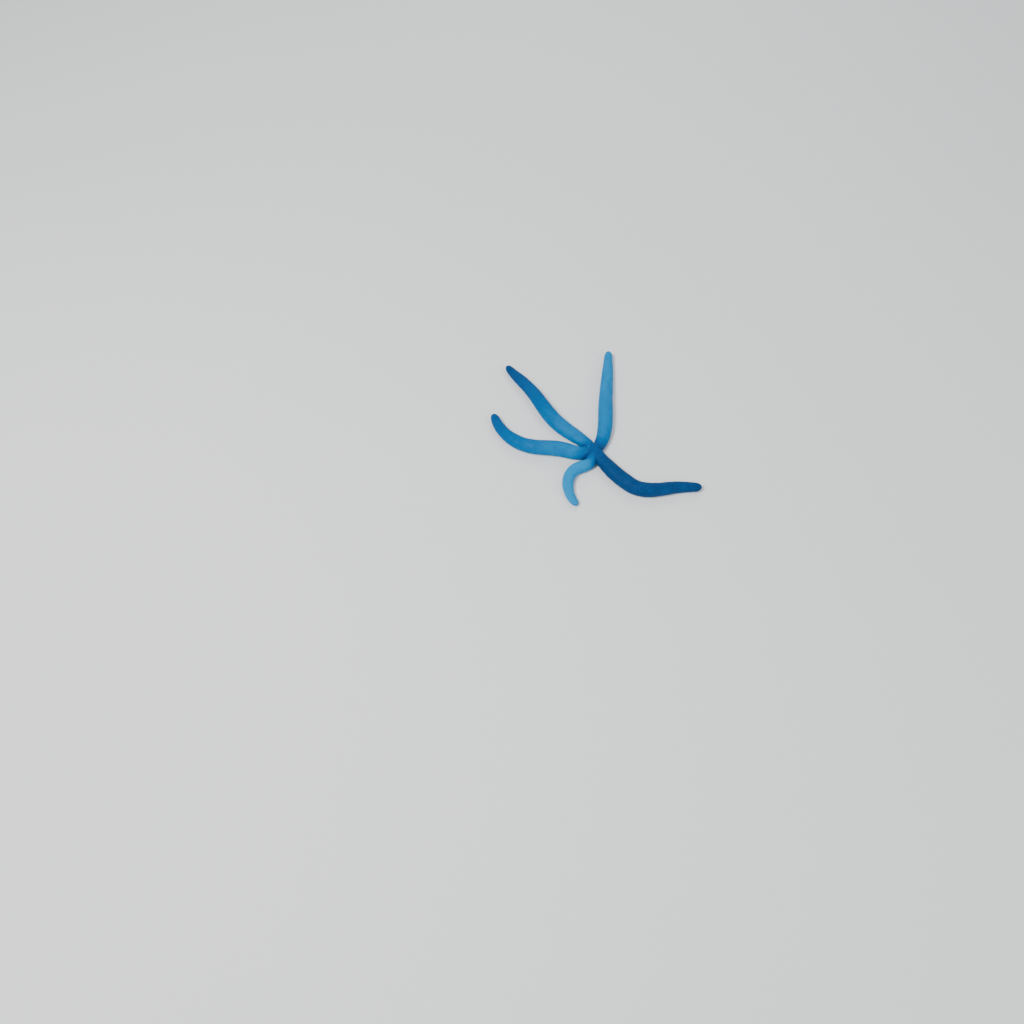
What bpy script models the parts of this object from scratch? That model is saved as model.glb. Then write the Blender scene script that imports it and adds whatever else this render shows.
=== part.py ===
"""Blue starfish, life size, resting on a flat floor with its arms bent as they lie on the reef.

Metres, +Z up. The floor is z = 0, and the origin is the middle of the starfish's outline on the floor.
The body is one flowing form: five arms grow out of a small disc. It is worked out as half sections that
run from the ridge of an arm, down its side, across the sole and up into the furrow of the tube feet.
"""

import math
import random

import bmesh
import bpy
import numpy as np
from mathutils import Vector

MM = 0.001

# Driving sizes
ARM_WIDTH = 17.8 * MM  # across a full-grown arm at its widest
ARM_HEIGHT = 14.2 * MM
DISC_HEIGHT = 13.4 * MM
DISC_CENTRE = Vector((1.04, -37.24)) * MM  # the disc's middle, from the middle of the outline
NODE_GAP = 0.3 * MM  # between two pieces that touch in life

# Each arm, counter-clockwise from the one that points away: its length from the disc's middle, its girth
# against a full-grown arm, the share of it that is left at the tip, how far its tip turns up, and its
# heading at its root and at eight even steps from there to its tip.
ARMS = {
    "arm_1": (147 * MM, 0.94, 0.50, 4.5 * MM, (60, 77, 85, 87, 85, 84, 84, 85, 86)),
    "arm_2": (159.5 * MM, 1.00, 0.42, 2.5 * MM, (129, 142, 137.5, 126, 118.5, 120.5, 127, 130, 124)),
    "arm_3": (138 * MM, 0.98, 0.50, 2.0 * MM, (188, 164, 170, 177, 165, 148, 131, 117, 106)),
    "arm_4": (85.5 * MM, 0.77, 0.50, 1.5 * MM, (252, 211, 203, 226, 252, 270, 284, 298, 312)),
    "arm_5": (138 * MM, 0.98, 0.50, 2.5 * MM, (304, 307, 314, 324, 352, 368, 368, 360, 350)),
}
STRAIGHT_ROOT = 10 * MM  # how far each arm runs straight from the disc's middle

# Share of the arm's girth at even steps from the disc's middle, of which the ninth would be the tip,
# and the first of these steps for an arm that is slimmer at its root, where it lies close to the next
GIRTH_STEPS = (0.71, 0.88, 0.99, 1.00, 0.96, 0.90, 0.81, 0.69)
SLIM_ROOTS = {"arm_2": (0.66, 0.81, 0.95)}
TIP_ROUND = 0.68  # length of the rounded end, against the arm's width there
LIFT_FROM = 0.84  # share of the arm's length where the tip starts to rise

SIDE_LEVEL = 0.44  # height of the widest line, against the arm's height
SOLE_SHARE = 0.60  # outer edge of the flat sole, against the half width
FURROW_HALF = 2.7 * MM  # half width of the furrow at the sole
FURROW_DEPTH = 4.0 * MM
FURROW_CLOSING = 9 * MM  # the furrow narrows over this length and ends where the tip starts to round
MOUTH_HALF = 3.8 * MM  # from the middle to a corner of the mouth between two arms
MOUTH_DEPTH = 6.2 * MM
MOUTH_SPREAD = 10 * MM  # distance from the middle in which the mouth's pit becomes a furrow
WEB_SOFTNESS = 0.06  # how far the skin rounds the corner between two arms

DISC_CUT = 18.5 * MM  # where an arm starts, along its middle line from the disc's middle
ARM_PARTS = ("base", "middle", "tip")
LINE_STEP = 0.25 * MM
CORNER_STEP = 0.1 * MM  # how finely the body's edge is sought

# How finely the solids are faceted
TOP_STEPS = 5
UNDER_STEPS = 3
FURROW_STEPS = 3
HUB_STEPS = 7
RING_PITCH = 5.4 * MM
TIP_RINGS = (0.4, 0.72, 0.92)  # along the rounded end

MADREPORITE_RADIUS = 1.8 * MM
MADREPORITE_OUT = 8.0 * MM  # from the disc's middle
MADREPORITE_HEADING = 159
MADREPORITE_UP = 12.6 * MM  # the skin's height there
MADREPORITE_LEAN = 12  # degrees, as the skin slopes there
POCKET_DEPTH = 1.6 * MM
MOUTH_RING_RADIUS = 2.3 * MM
MOUTH_HOLE_RADIUS = 0.8 * MM
MOUTH_RING_TOP = 4.0 * MM
MOUTH_RING_THICKNESS = 1.1 * MM

FEET_PITCH = 5.8 * MM  # along each of an arm's two rows of tube feet
FEET_FROM = 6.0 * MM  # the first pair's distance from the mouth's middle
FEET_OUT = 0.45  # a row's place, against the furrow's half width
FOOT_RADIUS = 0.55 * MM
SUCKER_RADIUS = 0.8 * MM
SUCKER_THICKNESS = 0.5 * MM
FOOT_ROOT = 0.8 * MM  # how far a foot is sunk into the furrow's roof
FOOT_CLEAR = 0.25 * MM  # between a sucker and the floor
FOOT_SIDES = 5
FOOT_LEAN = 7  # degrees, at most
SMALLEST_FURROW = 1.3 * MM  # half width under which a furrow carries no feet
SEED = 5
SHARP = math.radians(40)  # edges that turn more than this look sharp

SKIN_BLUE = (0.005, 0.16, 0.48, 1)
MADREPORITE_BLUE = (0.01, 0.15, 0.40, 1)
MOUTH_CREAM = (0.75, 0.62, 0.41, 1)


def clear_scene():
    for obj in list(bpy.data.objects):
        bpy.data.objects.remove(obj)


def collection_named(name):
    made = bpy.data.collections.new(name)
    bpy.context.scene.collection.children.link(made)
    return made


def material_named(name, colour, roughness):
    made = bpy.data.materials.new(name)
    made.use_nodes = True
    shader = made.node_tree.nodes["Principled BSDF"]
    shader.inputs["Base Color"].default_value = colour
    shader.inputs["Roughness"].default_value = roughness
    shader.inputs["Metallic"].default_value = 0.0
    return made


def ease(x):
    """From 0 to 1 as x goes from 0 to 1, level at both ends."""
    x = min(max(x, 0.0), 1.0)
    return x * x * (3 - 2 * x)


def along(steps, share):
    """The value at a share of the way through evenly spaced steps, on a smooth curve through them."""
    steps = [2 * steps[0] - steps[1], *steps, 2 * steps[-1] - steps[-2]]
    place = min(max(share, 0.0), 1.0) * (len(steps) - 3)
    first = min(int(place), len(steps) - 4)
    t = place - first
    a, b, c, d = steps[first : first + 4]
    return 0.5 * (2 * b + (c - a) * t + (2 * a - 5 * b + 4 * c - d) * t**2 + (3 * b - a - 3 * c + d) * t**3)


def rounded_end(s, end, length):
    """From 1 to 0 over the last length before an end, as a quarter circle falls."""
    past = max(0.0, (s - end) / length + 1)
    return math.sqrt(max(0.0, 1 - past**2))


def direction(degrees):
    return Vector((math.cos(math.radians(degrees)), math.sin(math.radians(degrees))))


class Arm:
    """One arm: its middle line on the floor, and its sizes along that line."""

    def __init__(self, name, length, girth, tip_share, lift, headings):
        self.name, self.length, self.lift, self.headings = name, length, lift, headings
        root = SLIM_ROOTS.get(name, ())
        self.girths = [girth * step for step in (*root, *GIRTH_STEPS[len(root) :], tip_share)]
        count = round(length / LINE_STEP) + 1
        self.places = np.linspace(0, length, count)
        turned = np.radians([self.heading(s) for s in self.places])
        steps = np.stack([np.cos(turned), np.sin(turned)], axis=1) * (length / (count - 1))
        between = (steps[1:] + steps[:-1]) / 2
        self.line = np.vstack([[0, 0], np.cumsum(between, axis=0)]) + np.array(DISC_CENTRE)
        self.halves = np.array([self.half_width(s) for s in self.places])

    def heading(self, s):
        return along(self.headings, (s - STRAIGHT_ROOT) / (self.length - STRAIGHT_ROOT))

    def point(self, s):
        return Vector([np.interp(s, self.places, self.line[:, axis]) for axis in (0, 1)])

    def share(self, s):
        """Girth before the tip is rounded, against a full-grown arm's."""
        return along(self.girths, s / self.length)

    def round_from(self):
        """Where the rounded end starts."""
        return self.length - TIP_ROUND * ARM_WIDTH * self.share(self.length)

    def cap(self, s):
        """From 1 along the arm to 0 at its very tip."""
        return rounded_end(s, self.length, self.length - self.round_from())

    def furrow(self, s):
        """Size of the furrow, from 1 along the arm to 0 where it ends."""
        return self.share(s) * rounded_end(s, self.round_from(), FURROW_CLOSING)

    def half_width(self, s):
        return ARM_WIDTH / 2 * self.share(s) * self.cap(s)

    def height(self, s):
        arm = ARM_HEIGHT * self.share(s)
        return DISC_HEIGHT + (arm - DISC_HEIGHT) * ease(s / DISC_CUT)

    def rise(self, s):
        """How far the tip has turned up at s."""
        start = LIFT_FROM * self.length
        return self.lift * max(0.0, (s - start) / (self.length - start)) ** 2

    def furrow_half(self, s):
        return FURROW_HALF * self.furrow(s)

    def furrow_depth(self, s):
        depth = FURROW_DEPTH * self.furrow(s)
        return MOUTH_DEPTH + (depth - MOUTH_DEPTH) * ease(s / MOUTH_SPREAD)


def nearness(arm, point):
    """Distance of a point on the floor from an arm's middle line, against the arm's half width there."""
    near = arm.places < 2 * DISC_CUT
    return (np.linalg.norm(arm.line[near] - np.array(point), axis=1) / arm.halves[near]).min()


class Body:
    """The five arms and the corners between them, where the disc's skin runs from arm to arm."""

    def __init__(self):
        self.arms = [Arm(name, *sizes) for name, sizes in ARMS.items()]
        self.corners = [self.corner(index) for index in range(len(self.arms))]

    def in_web(self, point):
        """Whether a point on the floor lies under the disc or an arm, with the corners rounded."""
        total = sum(math.exp(-nearness(arm, point) / WEB_SOFTNESS) for arm in self.arms)
        return total > math.exp(-1 / WEB_SOFTNESS)

    def midway(self, index, out):
        """The point at a distance from the disc's middle that lies as near an arm as the next arm."""
        arm, after = self.arms[index], self.arms[(index + 1) % len(self.arms)]
        low = arm.headings[0]
        high = low + (after.headings[0] - low) % 360
        for _ in range(20):
            middle = (low + high) / 2
            point = DISC_CENTRE + direction(middle) * out
            if nearness(arm, point) < nearness(after, point):
                low = middle
            else:
                high = middle
        return point

    def corner(self, index):
        """The body's edge between an arm and the next arm."""
        out = 0.0
        while self.in_web(self.midway(index, out + CORNER_STEP)):
            out += CORNER_STEP
        return self.midway(index, out)

    def side_reach(self, index, side, s):
        """Half width of the body square to an arm, up to the line midway to the next arm."""
        arm = self.arms[index]
        after = self.arms[(index + side) % len(self.arms)]
        way = direction(arm.heading(s) + 90 * side)
        reach = 0.0
        while True:
            point = arm.point(s) + way * (reach + CORNER_STEP)
            if not self.in_web(point) or nearness(after, point) < nearness(arm, point):
                return reach
            reach += CORNER_STEP

    def section_end(self, index, side, s):
        """Where a section of the disc that starts on an arm's middle line comes to the body's edge."""
        arm = self.arms[index]
        corner = self.corners[index if side > 0 else index - 1]
        if s == 0:
            return corner
        first = arm.places[np.linalg.norm(arm.line - np.array(corner), axis=1).argmin()]
        place = first + (DISC_CUT - first) * s / DISC_CUT
        return arm.point(place) + direction(arm.heading(place) + 90 * side) * self.side_reach(index, side, place)


def section_line(body, index, side, s):
    """Where a half section starts, the way it runs, how far it reaches, and how slanted it is to the arm."""
    arm = body.arms[index]
    start = arm.point(s)
    if s >= DISC_CUT:
        return start, direction(arm.heading(s) + 90 * side), arm.half_width(s), 1.0
    run = body.section_end(index, side, s) - start
    way = run.normalized()
    return start, way, run.length, abs(way.cross(direction(arm.heading(s))))


def half_section(body, index, side, s):
    """Points from the arm's ridge down one side, under the sole, and up to the middle of the furrow."""
    arm = body.arms[index]
    start, way, reach, slant = section_line(body, index, side, s)
    cap = arm.cap(s)
    level = SIDE_LEVEL * arm.height(s)
    crown = (arm.height(s) - level) * cap
    sole = level * (1 - cap)
    edge = MOUTH_HALF + (arm.furrow_half(s) / slant - MOUTH_HALF) * ease(s / MOUTH_SPREAD)
    outer = max(SOLE_SHARE * reach, 1.25 * edge)
    profile = []
    for step in range(TOP_STEPS + 1):
        turn = math.pi / 2 * step / TOP_STEPS
        profile.append((reach * math.sin(turn), level + crown * math.cos(turn)))
    for step in range(1, UNDER_STEPS + 1):
        turn = math.pi / 2 * step / UNDER_STEPS
        profile.append((outer + (reach - outer) * math.cos(turn), sole + (level - sole) * (1 - math.sin(turn))))
    for step in range(FURROW_STEPS + 1):
        turn = math.pi / 2 * (1 - step / FURROW_STEPS)
        profile.append((edge * math.sin(turn), sole + arm.furrow_depth(s) * math.cos(turn)))
    rise = arm.rise(s)
    return [Vector((*(start + way * out), up + rise)) for out, up in profile]


def grid_faces(mesh, rows):
    """Quads between neighbouring rows of points."""
    made = [[mesh.verts.new(point) for point in row] for row in rows]
    for first, second in zip(made, made[1:]):
        for j in range(len(first) - 1):
            mesh.faces.new((first[j], first[j + 1], second[j + 1], second[j]))
    return made


def close_ends(mesh):
    """One flat face over each open end."""
    edges = [edge for edge in mesh.edges if edge.is_boundary]
    bmesh.ops.holes_fill(mesh, edges=edges, sides=0)


def body_piece(name, body, spans, target, material):
    """A closed piece of the body from half sections: spans lists (arm index, places along it)."""
    mesh = bmesh.new()
    for index, places in spans:
        for side in (1, -1):
            grid_faces(mesh, [half_section(body, index, side, s) for s in places])
    bmesh.ops.remove_doubles(mesh, verts=mesh.verts, dist=0.002 * MM)
    bmesh.ops.dissolve_degenerate(mesh, edges=mesh.edges, dist=0.001 * MM)
    close_ends(mesh)
    bmesh.ops.recalc_face_normals(mesh, faces=mesh.faces)
    return finished(name, mesh, target, material)


def keep_largest(data):
    """Leave only the closed surface with the most volume."""
    mesh = bmesh.new()
    mesh.from_mesh(data)
    islands = []
    left = set(mesh.faces)
    while left:
        island, waiting = set(), [left.pop()]
        while waiting:
            face = waiting.pop()
            island.add(face)
            near = {other for edge in face.edges for other in edge.link_faces} & left
            left -= near
            waiting.extend(near)
        islands.append(island)
    if len(islands) > 1:
        largest = max(islands, key=lambda faces: sum(face.calc_area() for face in faces))
        loose = [face for island in islands if island is not largest for face in island]
        bmesh.ops.delete(mesh, geom=loose, context="FACES")
    mesh.to_mesh(data)
    mesh.free()


def fuse(obj, pieces):
    """Join small closed pieces, all in one collection, to the body that they grow from."""
    union = obj.modifiers.new("union", "BOOLEAN")
    union.operation = "UNION"
    union.operand_type = "COLLECTION"
    union.collection = pieces
    graph = bpy.context.evaluated_depsgraph_get()
    joined = bpy.data.meshes.new_from_object(obj.evaluated_get(graph))
    obj.modifiers.remove(union)
    obj.data = joined
    for piece in list(pieces.objects):
        bpy.data.objects.remove(piece)
    bpy.data.collections.remove(pieces)
    keep_largest(joined)
    joined.set_sharp_from_angle(angle=SHARP)


def finished(name, mesh, target, material):
    data = bpy.data.meshes.new(name)
    mesh.to_mesh(data)
    mesh.free()
    data.shade_smooth()
    data.set_sharp_from_angle(angle=SHARP)
    data.materials.append(material)
    obj = bpy.data.objects.new(name, data)
    target.objects.link(obj)
    return obj


def ring_places(arm, first, last):
    """Even places for the sections of one length of an arm, closer together in the rounded tip."""
    rounded = arm.round_from()
    end = min(last, rounded)
    count = max(2, math.ceil((end - first) / RING_PITCH))
    places = list(np.linspace(first, end, count + 1))
    if last > rounded:
        places += [rounded + share * (arm.length - rounded) for share in (*TIP_RINGS, 1.0)]
    return places


def feet_between(arm, first, last):
    """Where tube feet stand between two places of an arm: the place along it and the side."""
    room = NODE_GAP + SUCKER_RADIUS
    found = []
    for side, shift in ((1, 0.0), (-1, 0.5)):
        count = int(arm.length / FEET_PITCH)
        for step in range(count):
            s = FEET_FROM + (step + shift) * FEET_PITCH
            if first + room < s < last - room and arm.furrow_half(s) > SMALLEST_FURROW:
                found.append((s, side))
    return found


def foot_shape(material):
    """One tube foot, a stalk that narrows and then widens to a sucker, from its root at 0 down to -1."""
    home = collection_named("foot_shape")
    neck = -1.0 + SUCKER_THICKNESS / FURROW_DEPTH
    profile = [(0, 0), (FOOT_RADIUS, 0), (0.75 * FOOT_RADIUS, neck), (SUCKER_RADIUS, -1.0), (0, -1.0)]
    shape = turned("foot_shape", profile, FOOT_SIDES, home, material)
    data = shape.data
    bpy.data.objects.remove(shape)
    bpy.data.collections.remove(home)
    return data


def add_feet(obj, arm_spans, shape, draw):
    """Tube feet in two rows in each furrow: arm_spans lists (arm, first place, last place)."""
    pieces = collection_named(obj.name + "_feet")
    for arm, first, last in arm_spans:
        for s, side in feet_between(arm, first, last):
            size = arm.share(s)
            across = FEET_OUT * arm.furrow_half(s) * side
            roof = arm.furrow_depth(s) * math.sqrt(1 - FEET_OUT**2) + arm.rise(s)
            out = direction(arm.heading(s) + 90) * across
            foot = bpy.data.objects.new("foot", shape)
            foot.location = (*(arm.point(s) + out), roof + FOOT_ROOT * size)
            reach = roof + FOOT_ROOT * size - arm.rise(s) - FOOT_CLEAR
            foot.scale = (size, size, reach)
            lean = [math.radians(draw.uniform(-FOOT_LEAN, FOOT_LEAN)) for _ in range(2)]
            foot.rotation_euler = (*lean, math.radians(draw.uniform(0, 360 / FOOT_SIDES)))
            pieces.objects.link(foot)
    fuse(obj, pieces)


def make_disc(body, target, material, foot, draw):
    places = [DISC_CUT * step / HUB_STEPS for step in range(HUB_STEPS + 1)]
    places[-1] -= NODE_GAP / 2
    disc = body_piece("disc", body, [(index, places) for index in range(len(body.arms))], target, material)
    add_feet(disc, [(arm, 0.0, places[-1]) for arm in body.arms], foot, draw)
    return disc


def make_arm(body, index, target, material, foot, draw):
    """The three lengths of one arm, each a node of its own."""
    arm = body.arms[index]
    cuts = np.linspace(DISC_CUT, arm.length, len(ARM_PARTS) + 1)
    for part, first, last in zip(ARM_PARTS, cuts, cuts[1:]):
        start = first + NODE_GAP / 2
        end = last - NODE_GAP / 2 if part != ARM_PARTS[-1] else last
        places = ring_places(arm, start, end)
        length = body_piece(f"{arm.name}_{part}", body, [(index, places)], target, material)
        add_feet(length, [(arm, start, end)], foot, draw)


def turned(name, profile, sides, target, material):
    """A solid of revolution about Z from (radius, height) pairs, listed top to bottom."""
    data = bpy.data.meshes.new(name)
    data.from_pydata([(r, 0, z) for r, z in profile], [(i, i + 1) for i in range(len(profile) - 1)], [])
    guide = bpy.data.objects.new(name + "_profile", data)
    target.objects.link(guide)
    screw = guide.modifiers.new("turn", "SCREW")
    screw.steps = screw.render_steps = sides
    screw.use_merge_vertices = True
    screw.merge_threshold = 0.001 * MM
    graph = bpy.context.evaluated_depsgraph_get()
    solid = bpy.data.meshes.new_from_object(guide.evaluated_get(graph))
    bpy.data.objects.remove(guide)
    mesh = bmesh.new()
    mesh.from_mesh(solid)
    bmesh.ops.remove_doubles(mesh, verts=mesh.verts, dist=0.001 * MM)
    bmesh.ops.recalc_face_normals(mesh, faces=mesh.faces)
    return finished(name, mesh, target, material)


def make_madreporite(disc, target, cutters, material, skin):
    """The sieve plate, a low round button in its own pocket on the disc's top, between two arms."""
    profile = [
        (0, 0.25 * MM),
        (0.55 * MADREPORITE_RADIUS, 0.17 * MM),
        (0.88 * MADREPORITE_RADIUS, -0.08 * MM),
        (MADREPORITE_RADIUS, -0.4 * MM),
        (MADREPORITE_RADIUS, NODE_GAP - POCKET_DEPTH),
        (0, NODE_GAP - POCKET_DEPTH),
    ]
    plate = turned("madreporite", profile, 20, target, material)
    wide = MADREPORITE_RADIUS + NODE_GAP
    over = 3 * MM
    hollow = [(0, over), (wide, over), (wide, -POCKET_DEPTH), (0, -POCKET_DEPTH)]
    pocket = turned("madreporite_pocket", hollow, 20, cutters, skin)
    place = DISC_CENTRE + direction(MADREPORITE_HEADING) * MADREPORITE_OUT
    for obj in (plate, pocket):
        obj.location = (*place, MADREPORITE_UP)
        obj.rotation_euler = (0, math.radians(MADREPORITE_LEAN), math.radians(MADREPORITE_HEADING))
    pocket.hide_render = True
    pocket.display_type = "WIRE"
    cut = disc.modifiers.new("madreporite pocket", "BOOLEAN")
    cut.operation = "DIFFERENCE"
    cut.object = pocket


def make_mouth(target, material):
    """The ring of soft skin round the mouth, hung under the roof of the mouth's pit."""
    top = MOUTH_RING_TOP
    bottom = top - MOUTH_RING_THICKNESS
    middle = (top + bottom) / 2
    profile = [
        (MOUTH_HOLE_RADIUS, top),
        (MOUTH_RING_RADIUS, top),
        (MOUTH_RING_RADIUS, middle),
        (0.7 * MOUTH_RING_RADIUS, bottom),
        (MOUTH_HOLE_RADIUS, middle),
        (MOUTH_HOLE_RADIUS, top),
    ]
    ring = turned("mouth", profile, 20, target, material)
    ring.location = (*DISC_CENTRE, 0)


def main():
    clear_scene()
    starfish = collection_named("blue_starfish")
    cutters = collection_named("cutters")
    skin = material_named("skin", SKIN_BLUE, 0.55)
    body = Body()
    foot = foot_shape(skin)
    draw = random.Random(SEED)
    disc = make_disc(body, starfish, skin, foot, draw)
    for index in range(len(body.arms)):
        make_arm(body, index, starfish, skin, foot, draw)
    make_madreporite(disc, starfish, cutters, material_named("sieve_plate", MADREPORITE_BLUE, 0.6), skin)
    make_mouth(starfish, material_named("mouth_skin", MOUTH_CREAM, 0.5))


main()
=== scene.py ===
"""Looks of the blue starfish: one skin over the whole body, and what grows on it.

Metres, +Z up, the floor at z = 0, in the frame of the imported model. The body is worked out as half
sections that run from the ridge of an arm, down its side, across the sole and up into the furrow.
"""

import math
import random

import bmesh
import bpy
import numpy as np
from mathutils import Euler, Matrix, Vector, noise
from mathutils.kdtree import KDTree


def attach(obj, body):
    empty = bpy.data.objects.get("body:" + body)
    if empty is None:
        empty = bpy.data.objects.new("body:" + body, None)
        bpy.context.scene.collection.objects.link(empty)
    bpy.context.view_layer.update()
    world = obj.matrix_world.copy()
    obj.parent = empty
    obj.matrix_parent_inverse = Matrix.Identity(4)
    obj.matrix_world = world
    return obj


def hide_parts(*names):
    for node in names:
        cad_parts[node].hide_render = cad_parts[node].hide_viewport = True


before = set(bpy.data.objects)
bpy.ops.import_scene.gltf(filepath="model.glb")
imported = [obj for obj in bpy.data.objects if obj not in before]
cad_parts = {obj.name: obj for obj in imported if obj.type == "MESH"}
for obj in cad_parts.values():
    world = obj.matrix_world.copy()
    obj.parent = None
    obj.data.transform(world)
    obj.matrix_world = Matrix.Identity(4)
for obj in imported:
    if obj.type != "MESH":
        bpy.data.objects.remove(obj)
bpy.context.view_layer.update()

MM = 0.001

# Driving sizes of the body, as in the part's own source
ARM_WIDTH = 17.8 * MM
ARM_HEIGHT = 14.2 * MM
DISC_HEIGHT = 13.4 * MM
DISC_CENTRE = Vector((1.04, -37.24)) * MM

# Each arm, counter-clockwise from the one that points away: length from the disc's middle, girth, the share
# of it left at the tip, how far the tip turns up, and the heading at its root and at eight even steps on.
# A heading is in degrees, counter-clockwise from +X
ARMS = {
    "arm_1": (147 * MM, 0.94, 0.50, 4.5 * MM, (60, 77, 85, 87, 85, 84, 84, 85, 86)),
    "arm_2": (159.5 * MM, 1.00, 0.42, 2.5 * MM, (129, 142, 137.5, 126, 118.5, 120.5, 127, 130, 124)),
    "arm_3": (138 * MM, 0.98, 0.50, 2.0 * MM, (188, 164, 170, 177, 165, 148, 131, 117, 106)),
    "arm_4": (85.5 * MM, 0.77, 0.50, 1.5 * MM, (252, 211, 203, 226, 252, 270, 284, 298, 312)),
    "arm_5": (138 * MM, 0.98, 0.50, 2.5 * MM, (304, 307, 314, 324, 352, 368, 368, 360, 350)),
}
STRAIGHT_ROOT = 10 * MM
GIRTH_STEPS = (0.71, 0.88, 0.99, 1.00, 0.96, 0.90, 0.81, 0.69)  # at even steps from the disc's middle
SLIM_ROOTS = {"arm_2": (0.66, 0.81, 0.95)}  # first steps of an arm that is slimmer at its root
TIP_ROUND = 0.68  # length of the rounded end, against the width there
LIFT_FROM = 0.84  # share of the length where the tip starts to turn up
SIDE_LEVEL = 0.44  # height of the widest place, against the arm's height
SOLE_SHARE = 0.60  # half width of the sole, against the arm's
FURROW_HALF = 2.7 * MM
FURROW_DEPTH = 4.0 * MM
FURROW_CLOSING = 9 * MM
MOUTH_HALF = 3.8 * MM
MOUTH_DEPTH = 6.2 * MM
MOUTH_SPREAD = 10 * MM
WEB_SOFTNESS = 0.06  # how softly one arm runs into the next
DISC_CUT = 18.5 * MM  # how far the disc reaches along each arm
LINE_STEP = 0.25 * MM
CORNER_STEP = 0.1 * MM
MADREPORITE_RADIUS = 1.8 * MM
MADREPORITE_OUT = 8.0 * MM  # from the disc's middle
MADREPORITE_HEADING = 159
MADREPORITE_UP = 12.6 * MM
MADREPORITE_LEAN = 12  # degrees, outwards

# How finely the skin is meshed
TOP_STEPS = 20
UNDER_STEPS = 8
SOLE_STEPS = 4
FURROW_STEPS = 7
HUB_STEPS = 26
TIP_STEPS = 12
RING_PITCH = 0.64 * MM

# Columns of the skin's mesh, counted from the ridge
WIDEST = TOP_STEPS
SOLE_OUTER = WIDEST + UNDER_STEPS
FURROW_EDGE = SOLE_OUTER + SOLE_STEPS
FURROW_MIDDLE = FURROW_EDGE + FURROW_STEPS

# Relief of the skin
SOLE_CLEAR = 0.3 * MM  # the sole's skin stands this far off the floor, on its granules
SKIN_LOWEST = 0.05 * MM  # no point of the skin lies lower than this
GROWTH_LOWEST = 0.01 * MM  # nor any point of what grows on it than this
MERGE_REACH = 0.002 * MM  # points of two neighbouring sections that lie nearer than this are one
SWELL = 0.014  # how far an arm's girth wanders from its even taper, in a short and a long wave
SHORT_WAVE = 4.3 * MM
LONG_WAVE = 7.9 * MM
SWELL_LEAD = 1.5 * MM  # how far the height swells before the width does
PLATE_PITCH = 2.35 * MM
PLATE_HEIGHT = 0.17 * MM
PLATE_ROWS = (0, 17.5, 22.0)  # columns of the regular rows: along the ridge, and two along each side
PLATE_EDGE = 0.42  # share of the pitch over which a plate rises from its edge
PLATE_LEVEL = 0.6  # share of its height by which a plate starts below the smooth skin
PLATES_PAST = 3  # columns past the widest place that the loose plates reach
ROWS_FROM = 0.8 * DISC_CUT
ROW_STEPS = (0.92, 1.08)  # from one plate of a row to the next, against the pitch
ROW_ROOM = 0.86  # share of the pitch that a plate in a row keeps free round its middle
LOOSE_ROOM = 0.80  # and that a loose plate keeps free
PORE_GAP = 0.45 * MM  # how evenly near three plates must be where a pore opens between them
PORE_ROOM = 0.55 * PLATE_PITCH  # no two pores lie nearer than this
LUMP_HEIGHT = 0.16 * MM
LUMP_SIZES = (7 * MM, 2.6 * MM)
FINE_LUMPS = 0.45  # height of the small lumps, against the large ones
CREASE_DEPTH = 0.9 * MM
CREASE_HALF = 1.3 * MM
CREASE_GROWS = (0.25, 0.6)  # where a fold starts on the way to its corner, and how far on it is full-grown
CREASE_FADES = (1.2, 0.4)  # where it starts to fade, past its corner, and how far on it is gone
END_PLATE = 1.15 * MM  # half width of the bare plate at each tip
END_PLATE_HEIGHT = 0.10 * MM
END_GROOVE = 0.09 * MM  # depth of the groove round it
END_GROOVE_HALF = 0.3 * MM
SEAT_DEPTH = 0.35 * MM  # of the sieve plate's seat
SEAT_RIM = 0.14 * MM  # height of the rim round the seat
SEAT_REACH = 3 * MM  # how far over and under the sieve plate its seat shapes the skin
SEED = 5

# The unwrap of the skin, on which each arm is a band, cut open along its furrow
BAND_HALF = 28.5 * MM
BAND_FILLED = 0.96
BAND_START = 4 * MM
PATCH = 0.0015  # half the width of a small piece's patch, of the unwrap's whole width
PATCH_TURN = 2.39996  # radians from one point of a patch to the next, which fills it evenly

# Grains all over the skin, and papillae where its plates meet
GRAIN_SPACING = 0.50 * MM
GRAIN_SIZES = (0.23 * MM, 0.34 * MM)  # half widths, between the plates and on their middles
GRAIN_SPREAD = 0.14
SOWING_DENSITY = 12e6  # tries to a square metre
PAPILLA_SIZES = (0.10 * MM, 0.16 * MM)
PAPILLA_RING = (0.38 * MM, 0.62 * MM)  # how far the outer ones of a cluster stand from its middle
PAPILLA_SUNK = 0.03 * MM
GRAIN_SIDES = 6
PAPILLA_SIDES = 5

# Finish of the skin
CLOUD_SIZE = 9 * MM
SPECK_SIZE = 1.7 * MM
CLOUDING = 0.07  # how far clouds and specks change the depth of the blue, either way
SOLE_PALENESS = 0.8
FINE_GRAIN = 0.34 * MM
FINE_RELIEF = 0.05 * MM

# What stands in and beside the furrows
FEET_PITCH = 1.95 * MM
FEET_FROM = 5.2 * MM
FEET_OUT = 0.42  # a row's place, against the furrow's half width
FOOT_SIZE = 0.84 * MM
FOOT_ROOT = 0.4 * MM  # how far a foot starts inside the furrow's roof
FOOT_CLEAR = (0.1 * MM, 0.5 * MM)  # between a sucker and the floor
FOOT_SPLAY = (-0.10, 0.22)  # lean across the arm, outwards
FOOT_SWING = 0.18  # lean along the arm, either way
SMALLEST_FURROW = 0.8 * MM
SPINE_PITCH = 0.85 * MM
SPINE_LENGTH = 1.35 * MM
SPINE_WIDTHS = (0.28 * MM, 0.34 * MM)
SPINES_FROM = 1.2 * MM
SPINES_PAST = 1.5 * MM  # how far they go on past the start of the rounded tip
SPINE_FALL = 0.45  # how steeply they point down, against inwards
MOUTH_SPINE_MORE = 0.75 * MM
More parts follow.
